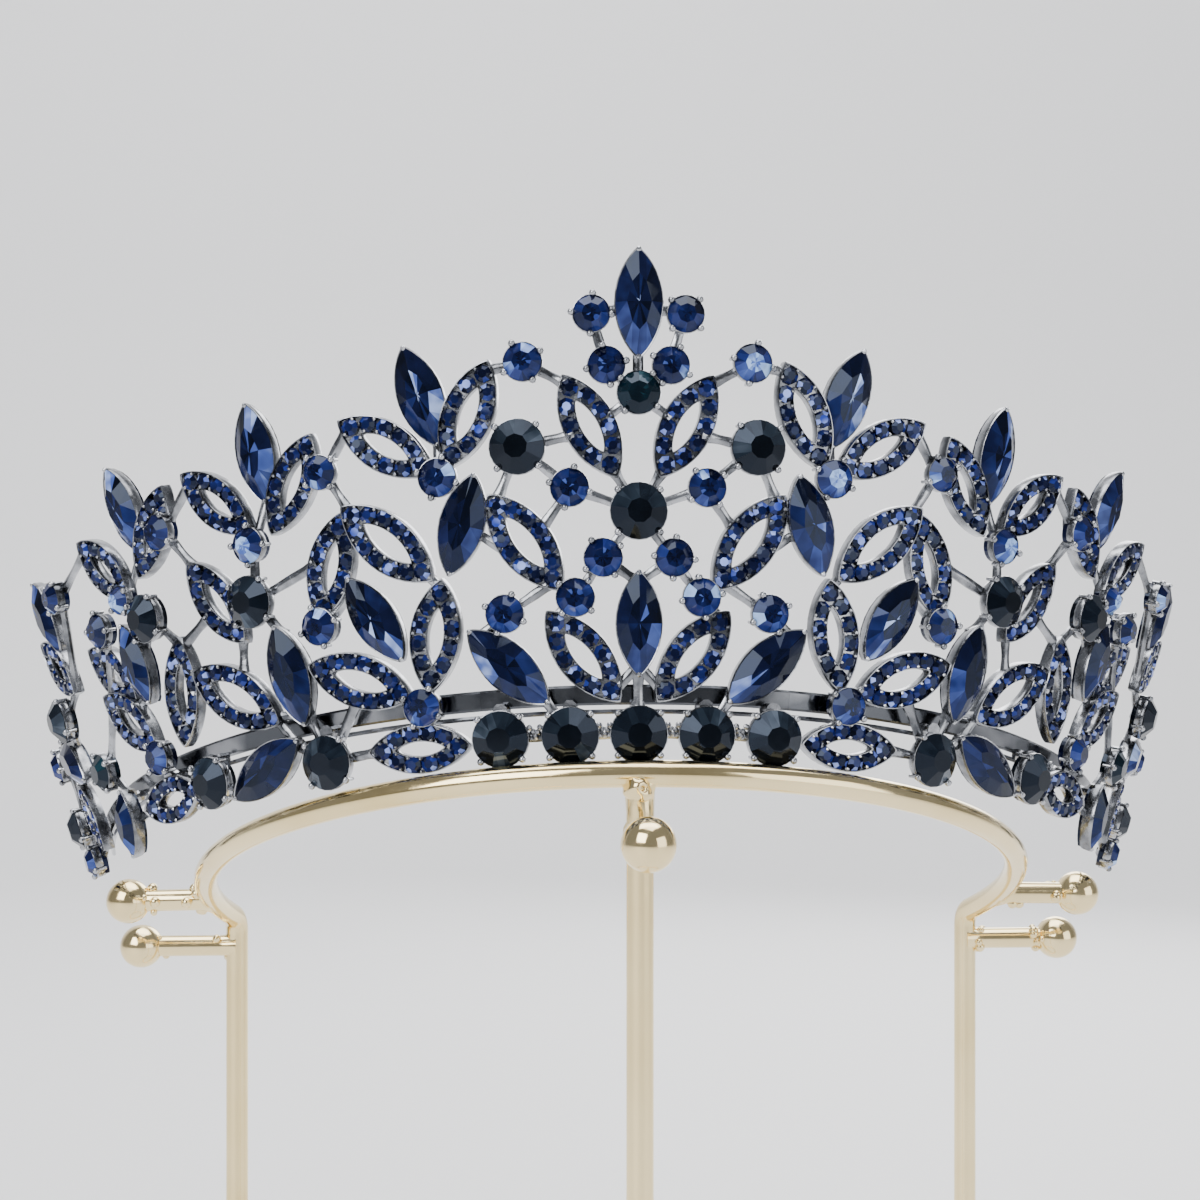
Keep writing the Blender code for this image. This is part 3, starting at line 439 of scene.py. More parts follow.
class StandSizes(bpy.types.PropertyGroup):
    """Sizes of the wire stand."""
    bar: length_prop("Bar", "Thickness of the round bar", 3.7)
    rail_radius: length_prop("Rail radius", "Radius of the top rail", 65)
    rail_height: length_prop("Rail height", "Height at which the crown's axis meets its base", 150)
    rail_end: angle_prop("Rail end", "Turn at which the rail's arms bend down", 104)
    rail_bend: length_prop("Rail bend", "Reach of the bend at the rail's ends", 5)
    rail_drop: length_prop("Rail drop", "Straight piece below the bend", 0.3)
    rail_set_in: length_prop("Set in", "How far the rail lies inside the crown's front", 1)
    stone_gap: length_prop("Crown gap", "Gap between the rail and the stones on it", 0.3)
    ball: length_prop("Ball", "Width of the balls on the pegs", 7.2)
    peg_bar: length_prop("Peg", "Thickness of the pegs", 3.5)
    front_peg: length_prop("Front peg", "Length of the front peg", 14)
    front_peg_drop: length_prop("Front peg drop", "Depth of the front peg below the rail", 7.8)
    side_peg: length_prop("Side peg", "Length of the upper side pegs", 13.8)
    side_peg_turn: angle_prop(
        "Side peg turn", "Turn at which the upper side pegs leave the rail", 94)
    low_peg: length_prop("Low peg", "Length of the lower side pegs", 16)
    low_peg_drop: length_prop(
        "Low peg drop", "Depth of the lower side pegs below the rail's ends", 1.9)
    collar: length_prop("Solder collar", "How far the solder spreads at a peg's root", 0.7)


class Colours(bpy.types.PropertyGroup):
    """Colours of the metals, stones and floor."""
    metal_light: colour_prop(
        "Metal, light", "Bright parts of the dark plating", (0.42, 0.43, 0.455))
    metal_dark: colour_prop("Metal, dark", "Dull parts of the dark plating", (0.085, 0.09, 0.1))
    gold: colour_prop("Gold", "Pale gold plating of the stand", (0.92, 0.755, 0.42))
    gold_warm: colour_prop("Gold, warm", "Warmer patches of that plating", (0.8, 0.62, 0.3))
    glint: colour_prop("Glint", "Tint of what the stones mirror", (0.62, 0.75, 1.0))
    floor: colour_prop("Floor", "Pale floor and backdrop", (0.78, 0.78, 0.79))


def crown():
    return bpy.context.scene.tiara_crown


def stones():
    return bpy.context.scene.tiara_stones


def leaves():
    return bpy.context.scene.tiara_leaves


def stand():
    return bpy.context.scene.tiara_stand


def colours():
    return bpy.context.scene.tiara_colours


# Places on the crown


def base_circle():
    """Middle and radius of the circle, seen from above, through the rail's front and both rear
    legs: the point on the axis that is equally far from the three."""
    front = rail_points(np.zeros(1), 0.0)[0]
    rear = rear_leg(1, 0.0)
    middle = (rear[0] ** 2 + rear[1] ** 2 - front[1] ** 2) / (2 * (rear[1] - front[1]))
    return middle, middle - front[1]


def depth_shift():
    """How far the packed part was moved in depth, read from where its base ring lies."""
    low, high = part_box("stand_base_ring")
    return (low[1] + high[1]) / 2 - base_circle()[0]


def tilt(shift):
    """Matrix that raises the front about X and lifts the crown to the stand's height."""
    c, s = math.cos(crown().lean_back), math.sin(crown().lean_back)
    return np.array(((1.0, 0.0, 0.0, 0.0), (0.0, c, s, shift), (0.0, -s, c, stand().rail_height),
                     (0.0, 0.0, 0.0, 1.0)))


def cone_places(turn, rise, lean, back):
    """A matrix for each place on the flared cone. The cone's radius grows by the flare's tangent
    with the rise; x lies across it, y up its slope turned by the lean, and z out of it."""
    flare = math.tan(crown().flare)
    radius = crown().base_radius + flare * rise
    behind = crown().base_radius - stand().rail_radius + stand().rail_set_in
    zero, one = np.zeros_like(turn), np.ones_like(turn)
    spot = np.stack((radius * np.sin(turn), behind - radius * np.cos(turn), rise + zero), -1)
    slope = np.stack((flare * np.sin(turn), -flare * np.cos(turn), one), -1) / math.hypot(flare, 1)
    across = np.stack((np.cos(turn), np.sin(turn), zero), -1)
    out = np.cross(across, slope)
    c, s = np.cos(lean)[:, None], np.sin(lean)[:, None]
    mats = np.zeros((len(turn), 4, 4))
    mats[:, :3, 0] = across * c - slope * s
    mats[:, :3, 1] = slope * c + across * s
    mats[:, :3, 2] = out
    mats[:, :3, 3] = spot - out * np.broadcast_to(back, turn.shape)[:, None]
    mats[:, 3, 3] = 1.0
    return tilt(depth_shift()) @ mats


def group(name):
    """Rows, stems, posts and hands of the centre or a wing."""
    if name == "centre":
        return CENTRE, CENTRE_STEMS, CENTRE_POSTS, (-1, 1)
    return WING, WING_STEMS, WING_POSTS, (-1,) if name == "wing_l" else (1,)


def pairs(name, kinds=None):
    """Every piece of a group with its hand; a piece on the middle line comes once."""
    rows, _, _, hands = group(name)
    found = [(row, hand) for row in rows for hand in hands if row.turn or hand > 0]
    return [(row, hand) for row, hand in found if kinds is None or row.kind in kinds]


def places(found):
    """A matrix for each piece of a group and its hand."""
    turn, rise, lean, back = np.array([
        (hand * row.turn, row.rise, hand * row.lean, row.back) for row, hand in found]).T
    return cone_places(
        np.radians(turn), rise * crown().rise, np.radians(lean), back * crown().back_set)


def round_radius(row):
    return getattr(stones(), row.kind) * row.size / 2


def navette_size(row):
    return stones().navette_long * row.size, stones().navette_wide * row.size


def end_row(end):
    return ROWS[end.partition(".")[0]]


def end_spot(end, hand):
    """World point of a piece's middle, or of the end that is named after the dot, and the
    direction out of the crown there."""
    row = end_row(end)
    long, wide, border = 0.0, 0.0, 0.0
    if row.kind == "leaf":
        long, wide, border = leaves().long * row.size, leaves().wide * row.size, leaves().border
    elif row.kind == "navette":
        long, wide = navette_size(row)
        border = stones().navette_wide / 2
    aside = hand * (wide - border) / 2
    x, y = {"tip": (0.0, END_SHARE * long), "foot": (0.0, -END_SHARE * long),
            "left": (-aside, 0.0), "right": (aside, 0.0)}.get(end.partition(".")[2], (0.0, 0.0))
    place = places([(row, hand)])[0]
    return place[:3, :3] @ np.array((x, y, 0.0)) + place[:3, 3], place[:3, 2]


def band_low():
    """Rise of the band's lower edge, a little below the top of the base stones."""
    return stones().black / 2 - crown().band_tall * BAND_OVERLAP


# Shapes


def linked(name, data):
    """New object in the scene."""
    made = bpy.data.objects.new(name, data)
    bpy.context.scene.collection.objects.link(made)
    return made


class Shape:
    """Points and faces of one mesh, with a tone for each face."""

    def __init__(self):
        self.points, self.faces, self.tones, self.count = [], [], [], 0

    def add(self, points, faces, tones=PLAIN_TONE, at=None):
        """Adds a shape once, or once at each matrix of at; each copy gets its own tones."""
        at = np.eye(4)[None] if at is None else at
        moved = np.einsum("pij,nj->pni", at[:, :3, :3], points) + at[:, None, :3, 3]
        self.points.append(moved.reshape(-1, 3))
        starts = (self.count + np.arange(len(at)) * len(points)).tolist()
        for start in starts:
            self.faces.extend((np.asarray(face) + start).tolist() for face in faces)
        self.count += len(points) * len(at)
        self.tones.append(np.resize(tones, len(faces) * len(at)))

    def make(self, name, material, sharp=None):
        """Mesh object with outward faces. Edges sharper than the angle in degrees stay sharp;
        with no angle every face is flat."""
        mesh = bpy.data.meshes.new(name)
        mesh.from_pydata(np.concatenate(self.points), [], self.faces)
        bm = bmesh.new()
        bm.from_mesh(mesh)
        bmesh.ops.recalc_face_normals(bm, faces=bm.faces[:])
        bm.to_mesh(mesh)
        bm.free()
        tone = mesh.attributes.new("tone", "FLOAT", "FACE")
        tone.data.foreach_set("value", np.concatenate(self.tones).astype(np.float32))
        mesh.polygons.foreach_set("use_smooth", [sharp is not None] * len(mesh.polygons))
        if sharp is not None:
            mesh.set_sharp_from_angle(angle=math.radians(sharp))
        mesh.materials.append(material)
        made = linked(name, mesh)
        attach(made, "root")
        return made


def unit(run):
    return run / np.linalg.norm(run)


def circle(count):
    """Turns at equal steps once round."""
    return 2 * math.pi * np.arange(count) / count


def around(turn):
    """Points of the unit circle: the sine and cosine of the turn."""
    return np.stack((np.sin(turn), np.cos(turn)), -1)


def grid_faces(rows, columns, wrap_rows, wrap_columns):
    """Quads between neighbours of a grid of points, which may close on itself either way."""
    r = np.arange(rows if wrap_rows else rows - 1)[:, None]
    c = np.arange(columns if wrap_columns else columns - 1)[None, :]
    r2, c2 = (r + 1) % rows, (c + 1) % columns
    corners = (r * columns + c, r * columns + c2, r2 * columns + c2, r2 * columns + c)
    return np.stack(np.broadcast_arrays(*corners), -1).reshape(-1, 4).tolist()


def capped_faces(rows, columns):
    """Quads of a tube of rings, and a flat face over its first and last ring."""
    last = (rows - 1) * columns
    caps = [list(range(columns))[::-1], list(range(last, last + columns))]
    return grid_faces(rows, columns, False, True) + caps


def turned(section, sides):
    """Section of (radius, height) pairs turned about Z: x and y are the radius times the sine
    and cosine of the turn."""
    section = np.asarray(section)[:, None]
    rings = section[..., :1] * around(circle(sides))
    heights = np.broadcast_to(section[..., 1:], (len(section), sides, 1))
    return np.concatenate((rings, heights), -1).reshape(-1, 3), capped_faces(len(section), sides)


def carried(line, section, steps):
    """Section of (out, height in mm) pairs carried round a closed line, which line gives for the
    turns and a value of out."""
    rings = [np.column_stack((line(circle(steps), out), np.full(steps, height * MM)))
             for out, height in section]
    return np.concatenate(rings), grid_faces(len(section), steps, True, True)


def lens(long, wide, turn):
    """Pointed outline: y is minus half the length times the cosine of the turn, and x is half
    the width times the square of the sine raised to the fullness, on the sine's side."""
    y = -long / 2 * np.cos(turn)
    x = wide / 2 * np.sign(np.sin(turn)) * (np.sin(turn) ** 2) ** leaves().fullness
    return np.stack((x, y), -1)


def leaf_lines(size):
    """A leaf's outline at a turn and a share of the way from its outer edge to its hole."""
    long, wide, border = leaves().long * size, leaves().wide * size, leaves().border
    ends = border * leaves().long / leaves().wide * LEAF_ENDS

    def between(turn, share):
        outer = lens(long, wide, turn)
        inner = lens(long - 2 * ends, wide - 2 * border, turn)
        return outer + (inner - outer) * share
    return between


def tray(size, steps=36):
    """Leaf tray: its section carried round between the outer edge and the hole."""
    return carried(leaf_lines(size), TRAY_SECTION, steps)


def rim(long, wide, steps=32):
    """Rim round a navette: a lens outline that widens by the section's distance, and at the
    pointed ends grows nearly twice as far."""
    return carried(lambda turn, out: lens(long + RIM_ENDS * out * MM, wide + 2 * out * MM, turn),
                   RIM_SECTION, steps)


def along_leaf(size):
    """Turns of a leaf's small stones, at equal distances from its tip, and of the middles between
    them: the running length of the stones' line, read backwards."""
    fine = math.pi + 2 * math.pi * np.linspace(0.0, 1.0, LINE_STEPS)
    line = leaf_lines(size)(fine, PAVE_LINE)
    run = np.concatenate(((0.0,), np.cumsum(np.hypot(*np.diff(line, axis=0).T))))
    count = 2 * round(run[-1] / stones().pave_pitch / 2)
    wanted = run[-1] * np.arange(count) / count
    return np.interp(wanted, run, fine), np.interp(wanted + run[-1] / count / 2, run, fine)


def shifts(spots, heights):
    """Matrices that move a shape to each spot."""
    mats = np.tile(np.eye(4), (len(spots), 1, 1))
    mats[:, :2, 3] = spots
    mats[:, 2, 3] = heights
    return mats


def facet_tones(draw, count, low, high, bright):
    """Tones of a stone's facets, as painted light: most lie between low and high, and a share of
    them is bright, as painted glints.
    """
    tones = draw.uniform(low, high, count)
    return np.where(draw.uniform(0, 1, count) < bright, draw.uniform(*BRIGHT_TONES, count), tones)


def cut_top(outline, table, star, heights, draw, glow):
    """Faceted stone. Its girdle has GIRDLE_STEPS points to each main facet; the table has the
    corners of the facets and their middles, and a star of small facets, whose points lie at the
    two shares of the way out, shows through it. heights are those of the foot, the girdle and
    the table."""
    count, per = len(outline), GIRDLE_STEPS
    sides = count // per
    low, girdle, top = heights
    corner = table[::2]
    middle = (corner + np.roll(corner, -1, 0)) / 2
    edge = np.stack((corner, middle), 1).reshape(-1, 2)
    inner = np.stack((corner * star[0], middle * star[1]), 1).reshape(-1, 2)
    points = np.concatenate((
        np.column_stack((outline * FOOT_SHARE, np.full(count, low))),
        np.column_stack((outline, girdle)),
        np.column_stack((edge, np.full(2 * sides, top))),
        np.column_stack((inner, np.full(2 * sides, top))),
        ((0.0, 0.0, top),)))
    # The first points of the girdle, the table's edge and the star, and the middle point
    a, b, c, d = count, 2 * count, 2 * count + 2 * sides, 2 * count + 4 * sides
    ring = np.arange(sides)[:, None]
    g = a + (ring * per + np.arange(per + 1)) % count
    e = b + (2 * ring + np.arange(3)) % (2 * sides)
    point = np.arange(2 * sides)
    after = (point + 1) % (2 * sides)
    faces = [list(range(count))[::-1]] + grid_faces(2, count, False, True)
    for corners in ((e[:, 0], g[:, 0], g[:, 1]), (e[:, 0], g[:, 1:per], e[:, 2], e[:, 1]),
                    (e[:, 2], g[:, per - 1], g[:, per]),
                    (b + point, b + after, c + after, c + point),
                    (c + point, c + after, np.full(2 * sides, d))):
        faces += np.column_stack(corners).tolist()
    # Painted light: the main facets grow brighter or darker with their height in the stone, some
    # are painted glints, and the table's facets get painted glints and any painted flash
    height = middle[:, 1] / np.abs(middle).max()
    scatter = draw.uniform(-CROWN_SCATTER, CROWN_SCATTER, sides)
    main = np.clip(CROWN_TONE + glow.up * height + scatter, CROWN_LEAST, 1.0) * glow.crown
    main = np.where(draw.uniform(0, 1, sides) < CROWN_BRIGHT, CROWN_MOST * glow.crown, main)
    tones = [np.full(1 + count, WALL_TONE), main * draw.uniform(*BESIDE, sides), main,
             main * draw.uniform(*BESIDE, sides)]
    tones += [facet_tones(draw, 2 * sides, *some) * glow.table + glow.flash
              for some in TABLE_TONES]
    return points, faces, np.clip(np.concatenate(tones), 0.0, 1.0)


def stone_heights(kind):
    """Heights of a stone's girdle and table."""
    tall = {"navette": stones().navette_tall, "black": stones().black_tall}
    height = tall.get(kind, stones().blue_tall)
    return stones().seat + height * stones().girdle_share, stones().seat + height


def round_stone(row, low, draw):
    """Round stone. Its main facets are flat, so the girdle's line is where they meet the round
    wall: it dips by the facet's slope times the wall's bulge beyond the facet's edges. Its facets'
    tones are painted light: the blue ones are brighter low on the crown, and the table of a few of
    them gets a painted flash."""
    black = row.kind == "black"
    sides = stones().black_sides if black else stones().sides
    share = stones().black_table if black else stones().table_share
    radius = round_radius(row)
    table_radius = radius * share
    girdle, top = stone_heights(row.kind)
    count = GIRDLE_STEPS * sides
    phase = (np.arange(count) % GIRDLE_STEPS / GIRDLE_STEPS - 0.5) * 2 * math.pi / sides
    apothem = table_radius * math.cos(math.pi / sides)
    slope = (top - girdle) / (radius * math.cos(math.pi / sides) - apothem)
    line = top - (radius * np.cos(phase) - apothem) * slope
    glow = GLOWS[row.kind]
    if row.kind == "blue":
        flash = FLASH if draw.uniform() < FLASH_CHANCE else 0.0
        lit = glow.crown - BLUE_FADE * row.rise + FLASH_SPILL * flash
        glow = glow._replace(crown=lit, flash=flash)
    outline, table = radius * around(circle(count)), table_radius * around(circle(2 * sides))
    return cut_top(outline, table, ROUND_STAR, (low, line, top), draw, glow)


def navette_stone(row, low, draw):
    """Pointed stone: the lens outline, with a smaller lens as its table."""
    sides, share = stones().sides, stones().table_share
    long, wide = navette_size(row)
    girdle, top = stone_heights("navette")
    outline = lens(long, wide, circle(GIRDLE_STEPS * sides))
    table = lens(long * share, wide * share, circle(2 * sides))
    # Painted light: a random brightness for crown and table, with the upper facets darker
    glow_level = draw.uniform(*NAVETTE_GLOW_SPAN)
    line = np.full(len(outline), girdle)
    glow = Glow(glow_level, NAVETTE_UP, glow_level)
    return cut_top(outline, table, NAVETTE_STAR, (low, line, top), draw, glow)


def any_stone(row, low, draw):
    return (navette_stone if row.kind == "navette" else round_stone)(row, low, draw)


def bar_mesh(start, stop, out, wide, thick, swell, sides=8, steps=11):
    """Cast bar: an oval section that is a little less than its size in the middle and grows with
    the fourth power of the distance from it, by the swell at the ends, with a small wave of its
    own along it."""
    run = stop - start
    side = unit(np.cross(run, out))
    up = unit(np.cross(side, run))
    share = np.linspace(0.0, 1.0, steps)
    wave = BAR_WAVE * np.sin(BAR_WAVE_RUN * share + BAR_WAVE_START * run.sum())
    grow = (BAR_WAIST + wave + swell * (2 * share - 1) ** 4)[:, None, None]
    turn = 2 * math.pi * (np.arange(sides) + 0.5) / sides
    section = (np.sin(turn)[:, None] * side * wide + np.cos(turn)[:, None] * up * thick) / 2
    points = start + share[:, None, None] * run + grow * section[None]
    return points.reshape(-1, 3), capped_faces(steps, sides)


def swept(path, radius, sides, closed=False, start_side=(0.0, 1.0, 0.0)):
    """Round tube along a path: each ring lies across the path's direction, and its zero mark is
    the fixed direction with its part along the path taken away."""
    ahead = np.roll(path, -1, 0) if closed else np.concatenate((path[1:], path[-1:]))
    behind = np.roll(path, 1, 0) if closed else np.concatenate((path[:1], path[:-1]))
    run = ahead - behind
    run = run / np.linalg.norm(run, axis=1)[:, None]
    mark = np.asarray(start_side) - run * (run @ np.asarray(start_side))[:, None]
    mark = mark / np.linalg.norm(mark, axis=1)[:, None]
    side = np.cross(run, mark)
    turn = circle(sides)[None, :, None]
    radius = np.broadcast_to(radius, (len(path),))[:, None, None]
    ring = np.cos(turn) * mark[:, None] + np.sin(turn) * side[:, None]
    points = (path[:, None] + radius * ring).reshape(-1, 3)
    if closed:
        return points, grid_faces(len(path), sides, True, True)
    return points, capped_faces(len(path), sides)


def band_points(start, stop, section):
    """Section of (up, back) pairs carried round the cone behind the base row."""
    steps = 3 + int(abs(stop - start) / math.radians(BAND_STEP))
    turn = np.linspace(start, stop, steps)
    zero = np.zeros_like(turn)
    rings = [cone_places(turn, zero + band_low() + up, zero, back)[:, :3, 3]
             for up, back in section]
    return np.stack(rings, 1).reshape(-1, 3), capped_faces(steps, len(section))


# Materials


class Wire:
    """A shader socket that takes part in sums. Numbers alone are worked out in Python."""

    def __init__(self, kit, socket):
        self.kit, self.socket = kit, socket

    def _sum(self, operation, one, two):
        made = self.kit.node("ShaderNodeMath", {"operation": operation}, {0: one, 1: two})
        return Wire(self.kit, made.outputs[0])

    def __add__(self, other):
        return self._sum("ADD", self, other)

    def __radd__(self, other):
        return self._sum("ADD", other, self)

    def __sub__(self, other):
        return self._sum("SUBTRACT", self, other)

    def __rsub__(self, other):
        return self._sum("SUBTRACT", other, self)

    def __mul__(self, other):
        return self._sum("MULTIPLY", self, other)

    def __rmul__(self, other):
        return self._sum("MULTIPLY", other, self)


class Finish:
    """A material whose nodes come from one method."""

    def __init__(self, name):
        self.material = bpy.data.materials.new(name)
        self.material.use_nodes = True
        self.tree = self.material.node_tree
        self.shader = self.tree.nodes["Principled BSDF"]

    def node(self, kind, settings=None, inputs=None):
        """Node of a type, with its settings first and then its inputs: numbers or links."""
        made = self.tree.nodes.new(kind)
        for name, value in (settings or {}).items():
            if name == "stops":
                self.stops(made, value)
            else:
                setattr(made, name, value)
        for name, value in (inputs or {}).items():
            self.set(made.inputs[name], value)
        return made

    def stops(self, made, stops):
        ramp = made.color_ramp
        while len(ramp.elements) < len(stops):
            ramp.elements.new(0.5)
        for element, (place, colour) in zip(ramp.elements, stops):
            element.position = place
            element.color = (*colour, 1.0)

    def set(self, socket, value):
        value = value.socket if isinstance(value, Wire) else value
        if isinstance(value, bpy.types.NodeSocket):
            self.tree.links.new(value, socket)
        else:
            socket.default_value = value

    def shade(self, **inputs):
        for name, value in inputs.items():
            self.set(self.shader.inputs[name.replace("_", " ")], value)

    def tone(self):
        """The tone of each face."""
        made = self.node("ShaderNodeAttribute", {"attribute_name": "tone"})
        return Wire(self, made.outputs["Fac"])

    def noise(self, scale, detail=2.0, rough=0.5):
        """Noise in the object's own coordinates; scale is in patches to the metre."""
        where = self.node("ShaderNodeTexCoord").outputs["Object"]
        made = self.node("ShaderNodeTexNoise", None, {
            "Vector": where, "Scale": scale, "Detail": detail, "Roughness": rough})
        return Wire(self, made.outputs[0])

    def spread(self, value, low, high, out_low, out_high):
        made = self.node("ShaderNodeMapRange", None, {
            "Value": value, "From Min": low, "From Max": high, "To Min": out_low,
            "To Max": out_high})
        return Wire(self, made.outputs[0])

    def blend(self, share, first, second):
        made = self.node("ShaderNodeMix", {"data_type": "RGBA"}, {
            "Factor": share, 6: whole(first), 7: whole(second)})
        return made.outputs[2]

    def bump(self, height, strength, distance):
        made = self.node("ShaderNodeBump", None, {
            "Height": height, "Strength": strength, "Distance": distance})
        return made.outputs[0]


def whole(colour):
    return (*colour, 1.0)


def plating(kind):
    """Dark silver plating: bright in some patches at random and with a painted highlight on the
    beads and prongs, duller elsewhere, with a grain that is rough on the castings and faint on the
    drawn band."""
    name = "dark_plating_" + kind
    if name in bpy.data.materials:
        return bpy.data.materials[name]
    finish = Finish(name)
    patch, deep, smooth, rough = PLATINGS[kind]
    broad = finish.spread(finish.noise(patch, 3.0), 0.34, 0.66, 0.0, 1.0)
    # The faces' tones add a painted highlight on the beads and prongs, and make the band duller
    bright = broad + finish.tone() * TONE_PULL - TONE_PULL * PLAIN_TONE
    finish.shade(Base_Color=finish.blend(bright, colours().metal_dark, colours().metal_light),
                 Metallic=1.0,
                 Roughness=finish.spread(
                     finish.noise(patch * PLATING_MARKS), 0.3, 0.7, smooth, rough),
                 Normal=finish.bump(finish.noise(patch * PLATING_GRAIN, 3.0), 0.35, deep * MM))
    return finish.material


def gilding():
    """Pale gold plating of the stand: nearly mirror bright, with faint warm patches and fine
    rubbed marks."""
    if "pale_gilding" in bpy.data.materials:
        return bpy.data.materials["pale_gilding"]
    finish = Finish("pale_gilding")
    patches = finish.spread(finish.noise(GILT_PATCH), 0.35, 0.7, 0.0, 1.0)
    marks = finish.noise(GILT_MARKS, 4.0, 0.6)
    finish.shade(Base_Color=finish.blend(patches, colours().gold, colours().gold_warm),
                 Metallic=1.0,
                 Roughness=finish.spread(marks, 0.3, 0.7, *GILT_ROUGH),
                 Normal=finish.bump(finish.noise(GILT_GRAIN), 0.12, 0.1 * MM))
    return finish.material


def cut_glass(kind):
    """Foiled cut glass: each facet takes its colour from its tone, which is painted light: the
    light that the foil and the facets behind would send back, with painted glints, under a hard
    clear surface."""
    name = "cut_glass_" + kind
    if name in bpy.data.materials:
        return bpy.data.materials[name]
    finish = Finish(name)
    cloud = finish.spread(finish.noise(GLASS_CLOUD, 1.0), 0.3, 0.7, -GLASS_DRIFT, GLASS_DRIFT)
    ramp = finish.node("ShaderNodeValToRGB", {"stops": STONE_STOPS[kind]},
                       {"Fac": finish.tone() + cloud})
    polish = finish.spread(finish.noise(GLASS_POLISH, 1.0), 0.3, 0.7, *GLASS_ROUGH)
    finish.shade(Base_Color=ramp.outputs[0], Roughness=polish, IOR=GLASS_IOR,
                 Specular_IOR_Level=GLASS_MIRROR, Specular_Tint=whole(colours().glint))
    return finish.material


def floor_finish():
    finish = Finish("pale_floor")
    speck = finish.spread(finish.noise(FLOOR_SPECK, 3.0), 0.3, 0.7, *FLOOR_ROUGH)
    finish.shade(Base_Color=whole(colours().floor), Roughness=speck)
    return finish.material


# Pieces


def add_settings(shape, found, at):
    """Cups, rims and prongs of the stones in a group, each at its place."""
    prong = turned(np.array(PRONG_SECTION) * MM, BEAD_SIDES)
    bead = turned(np.array(BEAD_SECTION) * leaves().bead * END_BEAD, BEAD_SIDES)
    for index, ((row, _), place) in enumerate(zip(found, at)):
        if row.kind == "navette":
            long, wide = navette_size(row)
            shape.add(*rim(long, wide), at=place[None])
            tip = long / 2 - END_BEAD_IN * MM
            spots = ((0.0, tip), (0.0, -tip))
            # Painted highlight on the beads at the navette's points
            shape.add(*bead, BEAD_HIGHLIGHT_TONE, place @ shifts(spots, END_BEAD_HEIGHT * MM))
        elif row.kind != "leaf":
            radius = round_radius(row)
            cup = turned(np.array(CUP_SECTION) * MM + (radius, 0.0), CUP_SIDES)
            shape.add(*cup, at=place[None])
            start = math.pi / 4 if row.kind == "black" else math.radians(index * 37 % 90)
            spots = (radius + leaves().prong_out) * around(start + math.pi / 2 * np.arange(4))
            # Painted highlight on the prongs
            shape.add(*prong, PRONG_HIGHLIGHT_TONE, place @ shifts(spots, 0.0))


def add_leaves(shape, found, at):
    """Leaf trays, and the grains between their small stones."""
    grain = turned(np.array(BEAD_SECTION) * leaves().bead / 2, GRAIN_SIDES)
    for (row, _), place in zip(found, at):
        if row.kind == "leaf":
            shape.add(*tray(row.size), at=place[None])
            _, between = along_leaf(row.size)
            spots = np.concatenate([leaf_lines(row.size)(between, share)
                                    for share in GRAIN_LINES])
            # Painted highlight on the grains
            shape.add(*grain, BEAD_HIGHLIGHT_TONE, place @ shifts(spots, leaves().bead_height))


def add_stems(shape, name):
    """Cast stems between pieces, and posts from the band to the base pieces."""
    _, stems, posts, hands = group(name)
    wide, thick = crown().stem_wide, crown().stem_thick
    for first, second in stems:
        for hand in hands if end_row(first).turn or end_row(second).turn else (1,):
            start, out = end_spot(first, hand)
            stop, _ = end_spot(second, hand)
            shape.add(*bar_mesh(start, stop, out, wide, thick, STEM_SWELL))
    deep, wide = crown().band_set + crown().band_thick / 2, crown().post_wide
    for turn in [hand * ROWS[post].turn for post in posts
                 for hand in (hands if ROWS[post].turn else (1,))]:
        place = cone_places(np.radians([turn]), np.array([band_low()]), np.zeros(1), 0.0)[0]
        start = place[:3, 3] - place[:3, 2] * deep
        stop = place[:3, 3] + place[:3, 2] * POST_REACH * MM
        shape.add(*bar_mesh(start, stop, place[:3, 1], wide, wide, POST_SWELL))


def add_band(shape, name):
    """Strip behind the base row, with rounded edges, and the thin wire just below it."""
    gap = crown().wing_gap / 2 / crown().base_radius
    edge = crown().wing_start - gap
    start, stop = -edge, edge
    if name != "centre":
        hand = -1 if name == "wing_l" else 1
        start, stop = hand * (crown().wing_start + gap), hand * crown().band_end
    tall, thick, deep = crown().band_tall, crown().band_thick, crown().band_set
    section = [(up * tall, deep + back * thick) for up, back in BAND_SECTION]
    shape.add(*band_points(start, stop, section), BAND_TONE)
    radius = crown().second_wire / 2
    ups, backs = (radius * around(circle(6))).T
    section = list(zip(ups - radius * WIRE_DROP, backs + deep + thick / 2))
    shape.add(*band_points(start, stop, section))


def add_knots(shape):
    """Two beads and a lump between neighbours of the base row."""
    bead = turned(np.array(BEAD_SECTION) * leaves().knot_bead / 2, BEAD_SIDES)
    knot = np.array(KNOT)
    for first, second in ROW_KNOTS:
        for hand in (-1, 1):
            middle = np.radians([hand * (ROWS[first].turn + ROWS[second].turn) / 2])
            place = cone_places(middle, np.zeros(1), np.zeros(1), 0.0)[0]
            mats = shifts(knot[:, :2] * MM, knot[:, 2] * MM)
            mats[:, :3, :3] *= knot[:, 3, None, None]
            # Painted highlight on the knot's beads
            shape.add(*bead, BEAD_HIGHLIGHT_TONE, place @ mats)


def build_frame(name, node):
    """Cast frame of one group, in the place of its node."""
    shape = Shape()
    found = pairs(name)
    at = places(found)
    add_leaves(shape, found, at)
    add_settings(shape, found, at)
    add_stems(shape, name)
    if name == "centre":
        add_knots(shape)
    made = shape.make(name + "_casting", plating("cast"), CAST_SHARP)
    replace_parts(made, node)
    band = Shape()
    add_band(band, name)
    band.make(name + "_band", plating("drawn"), CAST_SHARP)


